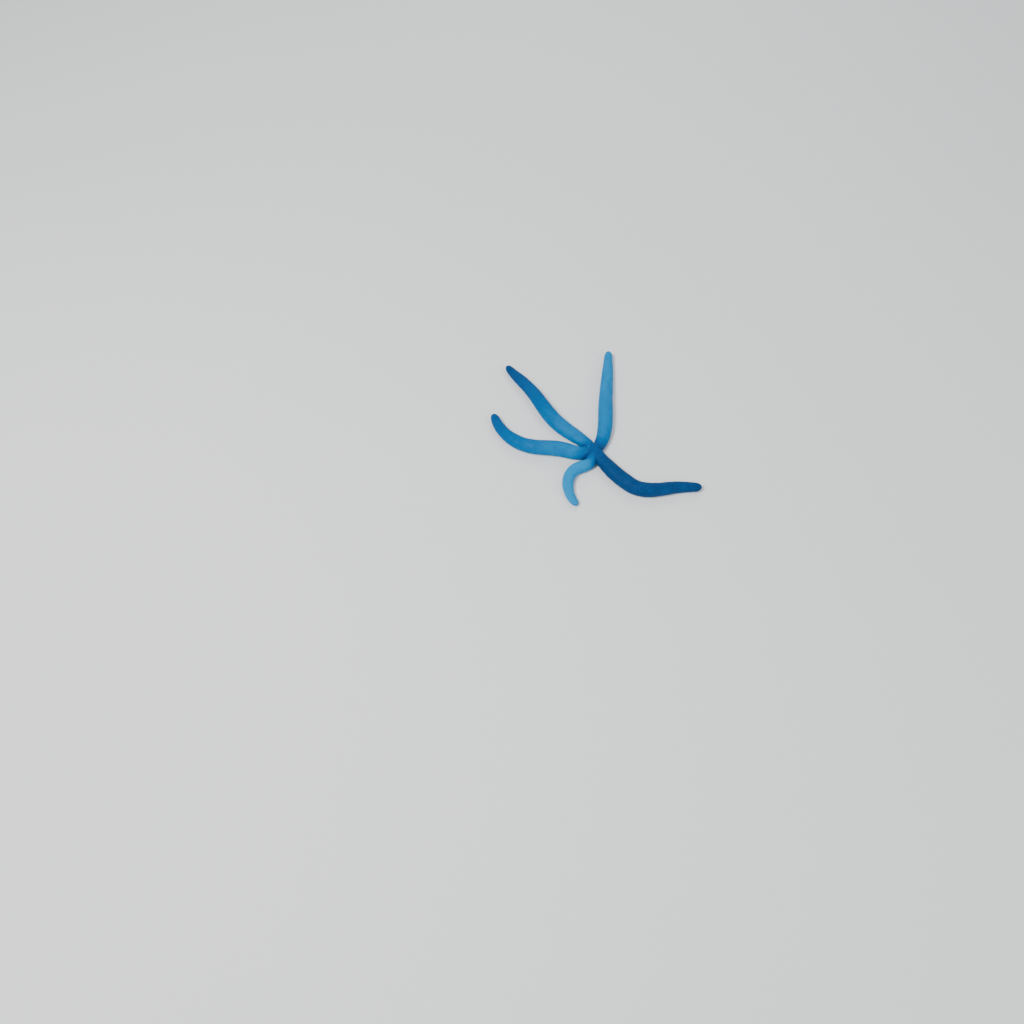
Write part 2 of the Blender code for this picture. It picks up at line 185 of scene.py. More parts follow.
EDGE_GRAIN = 0.40 * MM
EDGE_GRAIN_SUNK = 0.1 * MM
EYE_SIZES = (0.5 * MM, 0.42 * MM, 0.4 * MM)
EYE_SUNK = 0.08 * MM
EYE_BARE = 0.8 * MM  # no grains grow so near an eyespot
TIP_BARE = 1.25 * END_PLATE  # nor so near the very tip
SIEVE_BARE = 1.3 * MADREPORITE_RADIUS  # nor so near the sieve plate's middle

# The sieve plate
SIEVE_RINGS = 44
SIEVE_SIDES = 132
SIEVE_GRID = 128
SIEVE_GRID_ACROSS = 2.4 * MADREPORITE_RADIUS
SIEVE_OUT = 0.97 * MADREPORITE_RADIUS  # before its edge is made uneven
SIEVE_FOOT = 0.9 * MM
SIEVE_DOME = 0.34 * MM
SIEVE_SUNK = 0.04 * MM
SIEVE_ROUNDED = 0.84  # share of the radius where the edge starts to fall
SIEVE_EDGE_FALL = 0.5 * MM
GROOVE_PITCH = 0.36 * MM
GROOVE_DEPTH = 0.11 * MM
GROOVE_BAND = 0.28  # how far the grooves' width wanders, against its mean
GROOVE_ROUNDS = 40
GROOVE_SHARPNESS = 2.2

# The skin round the mouth
MOUTH_HOLE = 0.75 * MM
MOUTH_SIDES = 150
MOUTH_STEPS = 16
MOUTH_FOLDS = 20
MOUTH_BETWEEN = 3.25 * MM  # how far it reaches between two arms
MOUTH_TOWARDS = 2.5 * MM  # how much farther it reaches towards an arm
MOUTH_LOBE = 17  # degrees, half the width of such a lobe
MOUTH_RISE = 1.3 * MM
MOUTH_LEVEL = 3.55 * MM  # height of the opening's edge, before its lip
MOUTH_SLOPE = 0.5 * MM
MOUTH_LIP = 0.45 * MM
MOUTH_LIP_AT = 0.12  # share of the way from the opening to the rim
MOUTH_PUCKER = 0.11 * MM
MOUTH_THICKNESS = 0.28 * MM

# The studio, in metres, with the camera's place given from the disc's middle
CAMERA_OFFSET = (-0.09296, -0.63621, 0.92525)
CAMERA_DOWN = 58.79  # degrees below level
CAMERA_LENS = 35
CAMERA_SENSOR = 36

# Each light: name, place, width, power and colour. All are aimed at the origin
LIGHTS = (
    ("key", (-0.9, -0.5, 1.6), 0.7, 34, (1.0, 0.985, 0.96)),
    ("fill", (1.3, -0.9, 1.1), 1.2, 10, (0.92, 0.97, 1.0)),
    ("back", (0.2, 1.6, 1.3), 1.0, 11, (0.95, 0.98, 1.0)),
)
SKY_COLOUR = (0.93, 0.97, 1.0, 1)
SKY_STRENGTH = 0.46
FLOOR_BELOW = 0.1 * MM  # how far the floor lies under the soles
FLOOR_RADIUS = 2.6
BACKDROP_BEND = 1.2
BACKDROP_TOP = 2.6
FLOOR_SIDES = 96

# Colours, linear
LIGHT_AZURE = (0.0, 0.33, 0.69, 1)
AZURE = (0.0, 0.170, 0.435, 1)
DEEP_BLUE = (0.0, 0.085, 0.29, 1)
ROYAL_BLUE = (0.0, 0.036, 0.14, 1)
SOLE_BLUE = (0.05, 0.25, 0.48, 1)
FURROW_CREAM = (0.80, 0.74, 0.50, 1)
PORE_BLUE = (0.0, 0.04, 0.17, 1)
FOOT_CREAM = (0.78, 0.66, 0.38, 1)
SPINE_CREAM = (0.60, 0.66, 0.52, 1)
SIEVE_BLUE = (0.0, 0.10, 0.30, 1)
SIEVE_PALE = (0.01, 0.19, 0.46, 1)
EYE_RED = (0.32, 0.035, 0.015, 1)
EYE_DARK = (0.20, 0.02, 0.02, 1)
FOOT_PALE = (0.82, 0.75, 0.54, 1)
SPINE_BLUE = (0.30, 0.50, 0.60, 1)
MOUTH_CREAM = (0.80, 0.70, 0.46, 1)
MOUTH_TAN = (0.70, 0.54, 0.35, 1)
FLOOR_PALE = (0.86, 0.87, 0.87, 1)
FLOOR_SHADE = (0.82, 0.835, 0.84, 1)

# Between the lightest blue, at 0, and the deepest, at 1
BLUE_STOPS = ((0.38, AZURE), (0.72, DEEP_BLUE))

SATIN = 0.11  # gloss of the blue skin, which has only a soft sheen

# How deep the blue of each arm is, from 0, light azure, to 1, royal blue, at four even places to its tip.
# Besides the animal's own deeper blue towards the tips, this holds painted sun and shade: arm_4 and the tip
# of arm_1 are painted lighter as if sunlit, and the disc and arm_5 are painted deeper as if in shade
DISC_BLUE_WITH_PAINTED_SHADE = 0.84
DISC_BLUE_REACH = 25 * MM
ARM_BLUES_WITH_PAINTED_LIGHT = {
    "arm_1": (0.30, 0.26, 0.16, 0.12),
    "arm_2": (0.18, 0.32, 0.66, 0.96),
    "arm_3": (0.22, 0.27, 0.48, 0.78),
    "arm_4": (0.30, 0.03, 0.0, 0.10),
    "arm_5": (0.96, 0.98, 0.94, 0.96),
}


def ease(x):
    """From 0 to 1 as x goes from 0 to 1, level at both ends."""
    x = min(max(x, 0.0), 1.0)
    return x * x * (3 - 2 * x)


def eased(x):
    """The same for a whole array."""
    x = np.clip(x, 0.0, 1.0)
    return x * x * (3 - 2 * x)


def along(steps, share):
    """The value at a share of the way through evenly spaced steps, on a smooth curve through them."""
    steps = [2 * steps[0] - steps[1], *steps, 2 * steps[-1] - steps[-2]]
    place = min(max(share, 0.0), 1.0) * (len(steps) - 3)
    first = min(int(place), len(steps) - 4)
    t = place - first
    a, b, c, d = steps[first : first + 4]
    return 0.5 * (2 * b + (c - a) * t + (2 * a - 5 * b + 4 * c - d) * t**2 + (3 * b - a - 3 * c + d) * t**3)


def rounded_end(s, end, length):
    """From 1 to 0 over the last length before an end, as a quarter circle falls."""
    past = max(0.0, (s - end) / length + 1)
    return math.sqrt(max(0.0, 1 - past**2))


def direction(degrees):
    return Vector((math.cos(math.radians(degrees)), math.sin(math.radians(degrees))))


class Arm:
    """One arm: its middle line on the floor, and its sizes along that line."""

    def __init__(self, number, name, length, girth, tip_share, lift, headings):
        self.number, self.name, self.length = number, name, length
        self.lift, self.headings = lift, headings
        root = SLIM_ROOTS.get(name, ())
        self.girths = [girth * step for step in (*root, *GIRTH_STEPS[len(root) :], tip_share)]
        count = round(length / LINE_STEP) + 1
        self.places = np.linspace(0, length, count)
        turned = np.radians([self.heading(s) for s in self.places])
        steps = np.stack([np.cos(turned), np.sin(turned)], axis=1) * (length / (count - 1))
        between = (steps[1:] + steps[:-1]) / 2
        self.line = np.vstack([[0, 0], np.cumsum(between, axis=0)]) + np.array(DISC_CENTRE)
        near = self.places < 2 * DISC_CUT
        self.near_line = self.line[near]
        self.near_halves = np.array([self.half_width(s) for s in self.places[near]])

    def heading(self, s):
        return along(self.headings, (s - STRAIGHT_ROOT) / (self.length - STRAIGHT_ROOT))

    def point(self, s):
        return Vector([np.interp(s, self.places, self.line[:, axis]) for axis in (0, 1)])

    def share(self, s):
        """Girth before the tip is rounded, against a full-grown arm's."""
        return along(self.girths, s / self.length)

    def swell(self, s):
        """The slow swelling and narrowing of a living arm, which the disc doesn't share."""
        short = math.sin(s / SHORT_WAVE + 2.1 * self.number)
        long = 0.7 * math.sin(s / LONG_WAVE + 4.4 * self.number)
        return 1 + SWELL / 1.7 * (short + long) * ease((s - DISC_CUT) / (2 * DISC_CUT))

    def round_from(self):
        """Where the rounded end starts."""
        return self.length - TIP_ROUND * ARM_WIDTH * self.share(self.length)

    def cap(self, s):
        """From 1 along the arm to 0 at its very tip."""
        return rounded_end(s, self.length, self.length - self.round_from())

    def furrow(self, s):
        """Size of the furrow, from 1 along the arm to 0 where it ends."""
        return self.share(s) * rounded_end(s, self.round_from(), FURROW_CLOSING)

    def half_width(self, s):
        return ARM_WIDTH / 2 * self.share(s) * self.cap(s) * self.swell(s)

    def height(self, s):
        arm = ARM_HEIGHT * self.share(s) * self.swell(s + SWELL_LEAD)
        return DISC_HEIGHT + (arm - DISC_HEIGHT) * ease(s / DISC_CUT)

    def rise(self, s):
        """How far the tip has turned up at s."""
        start = LIFT_FROM * self.length
        return self.lift * max(0.0, (s - start) / (self.length - start)) ** 2

    def furrow_half(self, s):
        return FURROW_HALF * self.furrow(s)

    def furrow_depth(self, s):
        depth = FURROW_DEPTH * self.furrow(s)
        return MOUTH_DEPTH + (depth - MOUTH_DEPTH) * ease(s / MOUTH_SPREAD)

    def blue(self, s):
        """How deep the skin's blue is: the animal's own colour, with painted sun and shade in it."""
        arm = along(ARM_BLUES_WITH_PAINTED_LIGHT[self.name], s / self.length)
        return DISC_BLUE_WITH_PAINTED_SHADE + (arm - DISC_BLUE_WITH_PAINTED_SHADE) * ease(s / DISC_BLUE_REACH)


def nearness(arm, point):
    """Distance of a point on the floor from an arm's middle line, against the arm's half width there."""
    return (np.hypot(arm.near_line[:, 0] - point[0], arm.near_line[:, 1] - point[1]) / arm.near_halves).min()


class Body:
    """The five arms and the corners between them, where the disc's skin runs from arm to arm."""

    def __init__(self):
        self.arms = [Arm(number, name, *sizes) for number, (name, sizes) in enumerate(ARMS.items())]
        self.corners = [self.corner(index) for index in range(len(self.arms))]

    def in_web(self, point):
        """Whether a point on the floor lies under the disc or an arm, with the corners rounded."""
        total = sum(math.exp(-nearness(arm, point) / WEB_SOFTNESS) for arm in self.arms)
        return total > math.exp(-1 / WEB_SOFTNESS)

    def midway(self, index, out):
        """The point at a distance from the disc's middle that lies as near an arm as the next arm."""
        arm, after = self.arms[index], self.arms[(index + 1) % len(self.arms)]
        low = arm.headings[0]
        high = low + (after.headings[0] - low) % 360
        for _ in range(20):
            middle = (low + high) / 2
            point = DISC_CENTRE + direction(middle) * out
            if nearness(arm, point) < nearness(after, point):
                low = middle
            else:
                high = middle
        return point

    def corner(self, index):
        """The body's edge between an arm and the next arm."""
        out = 0.0
        while self.in_web(self.midway(index, out + CORNER_STEP)):
            out += CORNER_STEP
        return self.midway(index, out)

    def side_reach(self, index, side, s):
        """Half width of the body square to an arm, up to the line midway to the next arm."""
        arm = self.arms[index]
        after = self.arms[(index + side) % len(self.arms)]
        way = direction(arm.heading(s) + 90 * side)
        reach = 0.0
        while True:
            point = arm.point(s) + way * (reach + CORNER_STEP)
            if not self.in_web(point) or nearness(after, point) < nearness(arm, point):
                return reach
            reach += CORNER_STEP

    def section_end(self, index, side, s):
        """Where a section of the disc that starts on an arm's middle line comes to the body's edge."""
        arm = self.arms[index]
        corner = self.corners[index if side > 0 else index - 1]
        if s == 0:
            return corner
        first = arm.places[np.linalg.norm(arm.line - np.array(corner), axis=1).argmin()]
        place = first + (DISC_CUT - first) * s / DISC_CUT
        way = direction(arm.heading(place) + 90 * side)
        return arm.point(place) + way * self.side_reach(index, side, place)


def section_line(body, index, side, s):
    """Where a half section starts, the way it runs, how far it reaches, and how square it is to the arm."""
    arm = body.arms[index]
    start = arm.point(s)
    if s >= DISC_CUT:
        return start, direction(arm.heading(s) + 90 * side), arm.half_width(s), 1.0
    run = body.section_end(index, side, s) - start
    way = run.normalized()
    return start, way, run.length, abs(way.cross(direction(arm.heading(s))))


def side_profile(reach, outer, level, crown, sole):
    """From the ridge down to the sole's outer edge, as (out, up) pairs."""
    profile = []
    for step in range(TOP_STEPS + 1):
        turn = math.pi / 2 * step / TOP_STEPS
        profile.append((reach * math.sin(turn), level + crown * math.cos(turn)))
    for step in range(1, UNDER_STEPS + 1):
        turn = math.pi / 2 * step / UNDER_STEPS
        across = outer + (reach - outer) * math.cos(turn)
        profile.append((across, sole + (level - sole) * (1 - math.sin(turn))))
    return profile


def under_profile(outer, edge, sole, depth):
    """From there across the sole and up to the middle of the furrow."""
    profile = [(outer + (edge - outer) * step / SOLE_STEPS, sole) for step in range(1, SOLE_STEPS)]
    for step in range(FURROW_STEPS + 1):
        turn = math.pi / 2 * (1 - step / FURROW_STEPS)
        profile.append((edge * math.sin(turn), sole + max(0.0, depth) * math.cos(turn)))
    return profile


def half_section(body, index, side, s):
    """Points from the arm's ridge down one side, under the sole, and up to the middle of the furrow."""
    arm = body.arms[index]
    start, way, reach, square = section_line(body, index, side, s)
    cap = arm.cap(s)
    level = SIDE_LEVEL * arm.height(s)
    crown = (arm.height(s) - level) * cap
    sole = level * (1 - cap) + SOLE_CLEAR * cap
    depth = arm.furrow_depth(s) - SOLE_CLEAR * cap
    edge = MOUTH_HALF + (arm.furrow_half(s) / square - MOUTH_HALF) * ease(s / MOUTH_SPREAD)
    outer = max(SOLE_SHARE * reach, 1.25 * edge)
    profile = side_profile(reach, outer, level, crown, sole) + under_profile(outer, edge, sole, depth)
    rise = arm.rise(s)
    return [(*(start + way * out), up + rise) for out, up in profile]


def ring_places(arm):
    """Where an arm's sections stand: even along it, and closing up round its tip."""
    rounded = arm.round_from()
    hub = np.linspace(0, DISC_CUT, HUB_STEPS, endpoint=False)
    shaft = np.linspace(DISC_CUT, rounded, math.ceil((rounded - DISC_CUT) / RING_PITCH), endpoint=False)
    tip = rounded + (arm.length - rounded) * np.sin(np.linspace(0, math.pi / 2, TIP_STEPS + 1))
    return np.array([*hub, *shaft, *tip])


def smooth_mesh(name, mesh):
    """Mesh data from a mesh in the making."""
    data = bpy.data.meshes.new(name)
    mesh.to_mesh(data)
    mesh.free()
    data.shade_smooth()
    return data


def closed_mesh(name, mesh):
    """The same for a closed shape, with its faces turned outwards."""
    bmesh.ops.recalc_face_normals(mesh, faces=mesh.faces)
    return smooth_mesh(name, mesh)


def bake_place(number, side, s, column):
    """Where a place on the skin lies on its unwrap, from 0 to 1 each way."""
    across = (2 * number + 1) * BAND_HALF + side * column / FURROW_MIDDLE * BAND_FILLED * BAND_HALF
    whole = 2 * len(ARMS) * BAND_HALF
    return (BAND_START + s) / whole, across / whole


class Skin:
    """The body's skin as one closed mesh, with each point's place along and round its arm."""

    def __init__(self, body):
        self.body = body
        self.places = [ring_places(arm) for arm in body.arms]
        self.sheets = {}
        for number in range(len(body.arms)):
            for side in (1, -1):
                rows = [half_section(body, number, side, s) for s in self.places[number]]
                self.sheets[number, side] = np.array(rows)
        self.data = self.meshed()
        self.count = len(self.data.vertices)
        self.points = self.read("co")
        self.normals = self.read("normal")
        self.number_points()
        self.shades = {}

    def meshed(self):
        mesh = bmesh.new()
        layer = mesh.loops.layers.uv.new("OFBake")
        piece = mesh.faces.layers.int.new("piece")
        for (number, side), rows in self.sheets.items():
            made = [[mesh.verts.new(point) for point in row] for row in rows]
            where = [
                [bake_place(number, side, s, column) for column in range(FURROW_MIDDLE + 1)]
                for s in self.places[number]
            ]
            for i in range(len(made) - 1):
                outer = self.places[number][i] > self.body.arms[number].length / 2
                for j in range(FURROW_MIDDLE):
                    corners = ((i, j), (i, j + 1), (i + 1, j + 1), (i + 1, j))
                    face = mesh.faces.new([made[a][b] for a, b in corners])
                    face[piece] = 2 * number + int(outer)
                    for loop, (a, b) in zip(face.loops, corners):
                        loop[layer].uv = where[a][b]
        bmesh.ops.remove_doubles(mesh, verts=mesh.verts, dist=MERGE_REACH)
        bmesh.ops.dissolve_degenerate(mesh, edges=mesh.edges, dist=MERGE_REACH / 2)
        return closed_mesh("skin", mesh)

    def read(self, what):
        found = np.zeros(self.count * 3, np.float32)
        self.data.vertices.foreach_get(what, found)
        return found.reshape(-1, 3).astype(float)

    def number_points(self):
        """Which point of the mesh each place of the sheets is, and where each point lies on its arm."""
        tree = tree_of(self.points)
        self.index = {}
        self.arm = np.zeros(self.count, int)
        self.side = np.ones(self.count)
        self.s = np.zeros(self.count)
        self.column = np.zeros(self.count)
        for (number, side), rows in self.sheets.items():
            found = np.array([[tree.find(point)[1] for point in row] for row in rows])
            self.index[number, side] = found
            self.arm[found] = number
            self.side[found] = side
            self.s[found] = self.places[number][:, None]
            self.column[found] = np.arange(FURROW_MIDDLE + 1)[None, :]
        self.share = np.array([self.body.arms[a].share(s) for a, s in zip(self.arm, self.s)])
        self.left = np.array([self.body.arms[a].length - s for a, s in zip(self.arm, self.s)])
        ends = np.array([self.sheets[number, 1][-1][0] for number in range(len(self.places))])
        self.from_end = np.linalg.norm(self.points - ends[self.arm], axis=1)

    def raise_by(self, heights):
        """Move every point along its normal, never through the floor."""
        self.points = self.points + self.normals * heights[:, None]
        self.points[:, 2] = np.maximum(self.points[:, 2], SKIN_LOWEST)
        self.data.vertices.foreach_set("co", self.points.astype(np.float32).ravel())
        self.data.update()
        self.normals = self.read("normal")

    def spot(self, number, side, s, column):
        """A place on the finished skin: point, normal, nearest vertex and place on the unwrap."""
        rows = self.places[number]
        row = float(np.interp(s, rows, np.arange(len(rows))))
        r, c = min(int(row), len(rows) - 2), min(int(column), FURROW_MIDDLE - 1)
        down, over = row - r, column - c
        four = self.index[number, side][r : r + 2, c : c + 2].ravel()
        weights = np.array([(1 - down) * (1 - over), (1 - down) * over, down * (1 - over), down * over])
        point = weights @ self.points[four]
        normal = weights @ self.normals[four]
        place = bake_place(number, side, s, column)
        return Vector(point), Vector(normal).normalized(), int(four[weights.argmax()]), place

    def vertex_spot(self, i):
        place = bake_place(self.arm[i], self.side[i], self.s[i], self.column[i])
        return Vector(self.points[i]), Vector(self.normals[i]), int(i), place


def tree_of(points):
    tree = KDTree(len(points))
    for number, point in enumerate(points):
        tree.insert(point, number)
    tree.balance()
    return tree


def set_shade(data, name, values):
    """Give each point of a mesh a value that a material or a node tree reads by name."""
    data.attributes.new(name, "FLOAT", "POINT").data.foreach_set("value", np.asarray(values, np.float32))


def plate_pitch(share):
    """Distance between plates, which are smaller where an arm is slimmer."""
    return PLATE_PITCH * (0.45 + 0.55 * share)


def plate_centres(skin, everywhere, draw):
    """Points at the middles of the plates: regular rows along ridge and sides, and loose ones between."""
    pitch = plate_pitch(skin.share)
    taken = skin.column > WIDEST + PLATES_PAST
    centres = []

    def settle(i, room):
        centres.append(i)
        for _, j, _ in everywhere.find_range(skin.points[i], room * pitch[i]):
            taken[j] = True

    for number, arm in enumerate(skin.body.arms):
        for row, column in enumerate(PLATE_ROWS):
            for side in (1, -1) if column else (1,):
                s = ROWS_FROM + 0.5 * PLATE_PITCH * (row % 2)
                while s < arm.round_from():
                    settle(skin.spot(number, side, s, column + draw.uniform(-0.5, 0.5))[2], ROW_ROOM)
                    s += plate_pitch(arm.share(s)) * draw.uniform(*ROW_STEPS)
    order = list(range(skin.count))
    draw.shuffle(order)
    for i in order:
        if not taken[i] and skin.from_end[i] > 1.7 * END_PLATE:
            settle(i, LOOSE_ROOM)
    return centres


def plate_pattern(skin, centres):
    """How far each point lies inside its plate, in metres, and how near it is to where three plates meet."""
    middles = skin.points[centres]
    tree = tree_of(middles)
    inside = np.zeros(skin.count)
    meeting = np.zeros(skin.count)
    for i, point in enumerate(skin.points):
        (_, a, d1), (_, b, d2), (_, _, d3) = tree.find_n(point, 3)
        apart = np.linalg.norm(middles[a] - middles[b])
        inside[i] = (d2 * d2 - d1 * d1) / (2 * apart)
        meeting[i] = d3 - d1
    return inside, meeting


def pore_centres(skin, meeting, everywhere):
    """Points where plates meet on the upper side, which is where the skin breathes through small pores."""
    allowed = (skin.column < WIDEST + 1) & (skin.from_end > 3 * END_PLATE)
    free = allowed & (meeting < PORE_GAP)
    centres = []
    for i in np.argsort(meeting):
        if free[i]:
            centres.append(i)
            for _, j, _ in everywhere.find_range(skin.points[i], PORE_ROOM):
                free[j] = False
    return centres


def crease_relief(skin):
    """The folds on the upper side that run from the disc out to each corner between two arms."""
    start, growing = CREASE_GROWS
    end, fading = CREASE_FADES
    heights = np.zeros(skin.count)
    flat = skin.points[:, :2] - np.array(DISC_CENTRE)
    upper = 1 - eased((skin.column - WIDEST + 4) / 8)
    for corner in skin.body.corners:
        run = np.array(corner - DISC_CENTRE)
        length = np.linalg.norm(run)
        way = run / length
        out = flat @ way
        aside = np.abs(flat @ np.array([-way[1], way[0]]))
        grown = eased((out / length - start) / growing) * (1 - eased((out / length - end) / fading))
        heights -= CREASE_DEPTH * grown * np.exp(-((aside / CREASE_HALF) ** 2)) * upper
    return heights


def lump_relief(skin):
    """Soft unevenness of a living skin."""
    wide, fine = LUMP_SIZES
    slow = np.array([noise.noise(Vector(point) / wide) for point in skin.points])
    quick = np.array([noise.noise(Vector(point) / fine + Vector((9, 4, 2))) for point in skin.points])
    return LUMP_HEIGHT * (slow + FINE_LUMPS * quick)


def tip_relief(skin):
    """The smooth plate that ends each arm, and the shallow groove round it."""
    plate = 1 - eased((skin.from_end - 0.75 * END_PLATE) / (0.25 * END_PLATE))
    groove = np.exp(-(((skin.from_end - 1.15 * END_PLATE) / END_GROOVE_HALF) ** 2))
    return END_PLATE_HEIGHT * plate - END_GROOVE * groove


def sieve_frame():
    """Where the sieve plate sits: its own frame, with +Z out of the skin."""
    place = DISC_CENTRE + direction(MADREPORITE_HEADING) * MADREPORITE_OUT
    turn = Euler((0, math.radians(MADREPORITE_LEAN), math.radians(MADREPORITE_HEADING)))
    return Matrix.Translation((*place, MADREPORITE_UP)) @ turn.to_matrix().to_4x4()


def from_sieve(skin):
    """The skin's points in the sieve plate's own frame."""
    inverse = np.array(sieve_frame().inverted())
    return skin.points @ inverse[:3, :3].T + inverse[:3, 3]


def seat_relief(skin):
    """The shallow seat of the sieve plate, with a soft rim round it."""
    local = from_sieve(skin)
    out = np.hypot(local[:, 0], local[:, 1]) / MADREPORITE_RADIUS
    near = np.abs(local[:, 2]) < SEAT_REACH
    pressed = (-SEAT_DEPTH - local[:, 2]) * (1 - eased((out - 1.0) / 0.28))
    rim = SEAT_RIM * np.exp(-(((out - 1.42) / 0.2) ** 2))
    return np.where(near, pressed + rim, 0.0)


def eye_place(arm):
    """How far along an arm its eyespot sits, under the tip."""
    return arm.round_from() + 0.55 * (arm.length - arm.round_from())


def grained(skin):
    """Where grains grow: all over, but for the furrows, the sieve plate, the end plates and the eyespots."""
    free = np.linalg.norm(from_sieve(skin), axis=1) > SIEVE_BARE
    closed = [0.85 * (arm.length - arm.round_from()) for arm in skin.body.arms]
    free &= (skin.column < FURROW_EDGE - 1.8) | (skin.left < np.array(closed)[skin.arm])
    free &= skin.from_end > TIP_BARE
    for number, arm in enumerate(skin.body.arms):
        eye = skin.spot(number, 1, eye_place(arm), FURROW_MIDDLE)[0]
        free &= np.linalg.norm(skin.points - np.array(eye), axis=1) > EYE_BARE
    return free.astype(float)


def shade_skin(skin, plate):
    """Store on each point of the skin what its colours and its grains go by."""
    below = eased((skin.column - WIDEST - 1) / 7)
    edge = eased((skin.column - FURROW_EDGE + 1.9) / 1.9)
    skin.shades.update(
        plate=plate,
        # the depth of the blue carries the painted sun and shade of the arms and the disc
        depth=np.array([skin.body.arms[a].blue(s) for a, s in zip(skin.arm, skin.s)]),
        pale=below * eased((skin.left - 1.5 * MM) / (4 * MM)),
        cream=edge * eased((skin.left - 3 * MM) / (2 * MM)),
        sown=grained(skin),
    )
    for name, values in skin.shades.items():
        set_shade(skin.data, name, values)


def shape_skin(skin):
    """Give the smooth skin its plates, folds and unevenness, and find where it has pores."""
    draw = random.Random(SEED)
    everywhere = tree_of(skin.points)
    centres = plate_centres(skin, everywhere, draw)
    inside, meeting = plate_pattern(skin, centres)
    pores = pore_centres(skin, meeting, everywhere)
    dome = eased(inside / (PLATE_EDGE * plate_pitch(skin.share)))
    wanted = 1 - eased((skin.column - SOLE_OUTER + 3) / 3)
    wanted = wanted * eased(skin.from_end / END_PLATE - 1.2)
    heights = PLATE_HEIGHT * (dome - PLATE_LEVEL) * wanted * (0.5 + 0.5 * skin.share)
    open_skin = 1 - eased((skin.column - SOLE_OUTER) / 2)
    heights = heights + lump_relief(skin) * open_skin + crease_relief(skin) + tip_relief(skin) * open_skin
    skin.raise_by(heights + seat_relief(skin))
    shade_skin(skin, dome * wanted)
    return pores


def add(tree, kind, values=None, **settings):
    """One node, with its settings, and each input in values set to a value or joined to another's output."""
    made = tree.nodes.new(kind)
    for name, value in settings.items():
        setattr(made, name, value)
    for socket, value in (values or {}).items():
        if isinstance(value, bpy.types.NodeSocket):
            tree.links.new(value, made.inputs[socket])
        else:
            made.inputs[socket].default_value = value
    return made


def new_material(name, **sockets):
    """A material and its node tree, with the shader's even values set on its own sockets."""
    material = bpy.data.materials.new(name)
    material.use_nodes = True
    shader = material.node_tree.nodes["Principled BSDF"]
    for socket, value in sockets.items():
        shader.inputs[socket.replace("_", " ")].default_value = value
    return material, material.node_tree


def join_shader(tree, **sockets):
    """Join each named socket of the shader to another node's output."""
    shader = tree.nodes["Principled BSDF"]
    for socket, output in sockets.items():
        tree.links.new(output, shader.inputs[socket.replace("_", " ")])


def shade_of(tree, name):
    return add(tree, "ShaderNodeAttribute", attribute_name=name, attribute_type="GEOMETRY").outputs["Fac"]


def reckon(tree, operation, first, second):
    """A number worked out from two others."""
    return add(tree, "ShaderNodeMath", {0: first, 1: second}, operation=operation).outputs[0]


def blend(tree, factor, first, second):
    """A colour between two colours."""
    return add(tree, "ShaderNodeMix", {0: factor, 6: first, 7: second}, data_type="RGBA").outputs[2]


def spread(tree, value, low, high, to_low, to_high):
    """A value carried from one range to another."""
    values = {0: value, 1: low, 2: high, 3: to_low, 4: to_high}
    return add(tree, "ShaderNodeMapRange", values).outputs[0]


def object_place(tree):
    return add(tree, "ShaderNodeTexCoord").outputs["Object"]


def cloudy(tree, size, detail=3.0):
    """Soft noise whose patches are about so many metres wide."""
    values = {"Vector": object_place(tree), "Scale": 1 / size, "Detail": detail, "Roughness": 0.55}
    return add(tree, "ShaderNodeTexNoise", values).outputs["Fac"]


def patchy(tree, size, low, high, detail=3.0):
    """A value that wanders between two others, in patches about so many metres wide."""
    return spread(tree, cloudy(tree, size, detail), 0.3, 0.7, low, high)


def pebbled(tree, size):
    """Distance from the middles of grains about so many metres wide."""
    values = {"Vector": object_place(tree), "Scale": 1 / size, "Randomness": 0.9}
    return add(tree, "ShaderNodeTexVoronoi", values, feature="F1").outputs["Distance"]


def fine_relief(tree, height, strength):
    """The tilt of a surface whose unevenness is too fine to be modelled."""
    values = {"Strength": strength, "Distance": FINE_RELIEF, "Height": height}
    return add(tree, "ShaderNodeBump", values).outputs[0]


def blue_flesh(tree):
    """The body's blue: deeper or lighter along each arm, partly as painted sun and shade, clouded, and paler
    below.
    """
    clouds = patchy(tree, CLOUD_SIZE, -CLOUDING, CLOUDING)
    specks = patchy(tree, SPECK_SIZE, -CLOUDING, CLOUDING, 2.0)
    depth = reckon(tree, "ADD", shade_of(tree, "depth"), clouds)
    ramp = add(tree, "ShaderNodeValToRGB", {0: reckon(tree, "ADD", depth, specks)})
    stops = ramp.color_ramp.elements
    stops[0].color = LIGHT_AZURE
    stops[1].color = ROYAL_BLUE
    for place, colour in BLUE_STOPS:
        stops.new(place).color = colour
    below = reckon(tree, "MULTIPLY", shade_of(tree, "pale"), SOLE_PALENESS)
    return blend(tree, below, ramp.outputs[0], SOLE_BLUE)


def skin_material():
    """Satin blue skin: plates a little lighter than the porous skin between them, fine grains all over."""
    material, tree = new_material(
        "starfish_skin",
        Specular_IOR_Level=SATIN,
        Subsurface_Weight=0.10,
        Subsurface_Radius=(0.2, 0.6, 1.3),
        Subsurface_Scale=0.8 * MM,
    )
    between = spread(tree, shade_of(tree, "plate"), 0.0, 1.0, 0.5, 0.08)
    above = spread(tree, shade_of(tree, "pale"), 0.0, 0.6, 1.0, 0.0)
    porous = reckon(tree, "MULTIPLY", between, above)
    colour = blend(tree, porous, blue_flesh(tree), PORE_BLUE)
    colour = blend(tree, shade_of(tree, "cream"), colour, FURROW_CREAM)
    grain = pebbled(tree, FINE_GRAIN)
    lighter = spread(tree, grain, 0.1, 0.6, 0.06, 0.0)
    colour = blend(tree, lighter, colour, LIGHT_AZURE)
    dull = patchy(tree, 3 * MM, 0.44, 0.60)
    relief = fine_relief(tree, spread(tree, grain, 0.0, 0.7, 1.0, 0.0), 0.5)
    join_shader(tree, Base_Color=colour, Roughness=dull, Normal=relief)
    return material


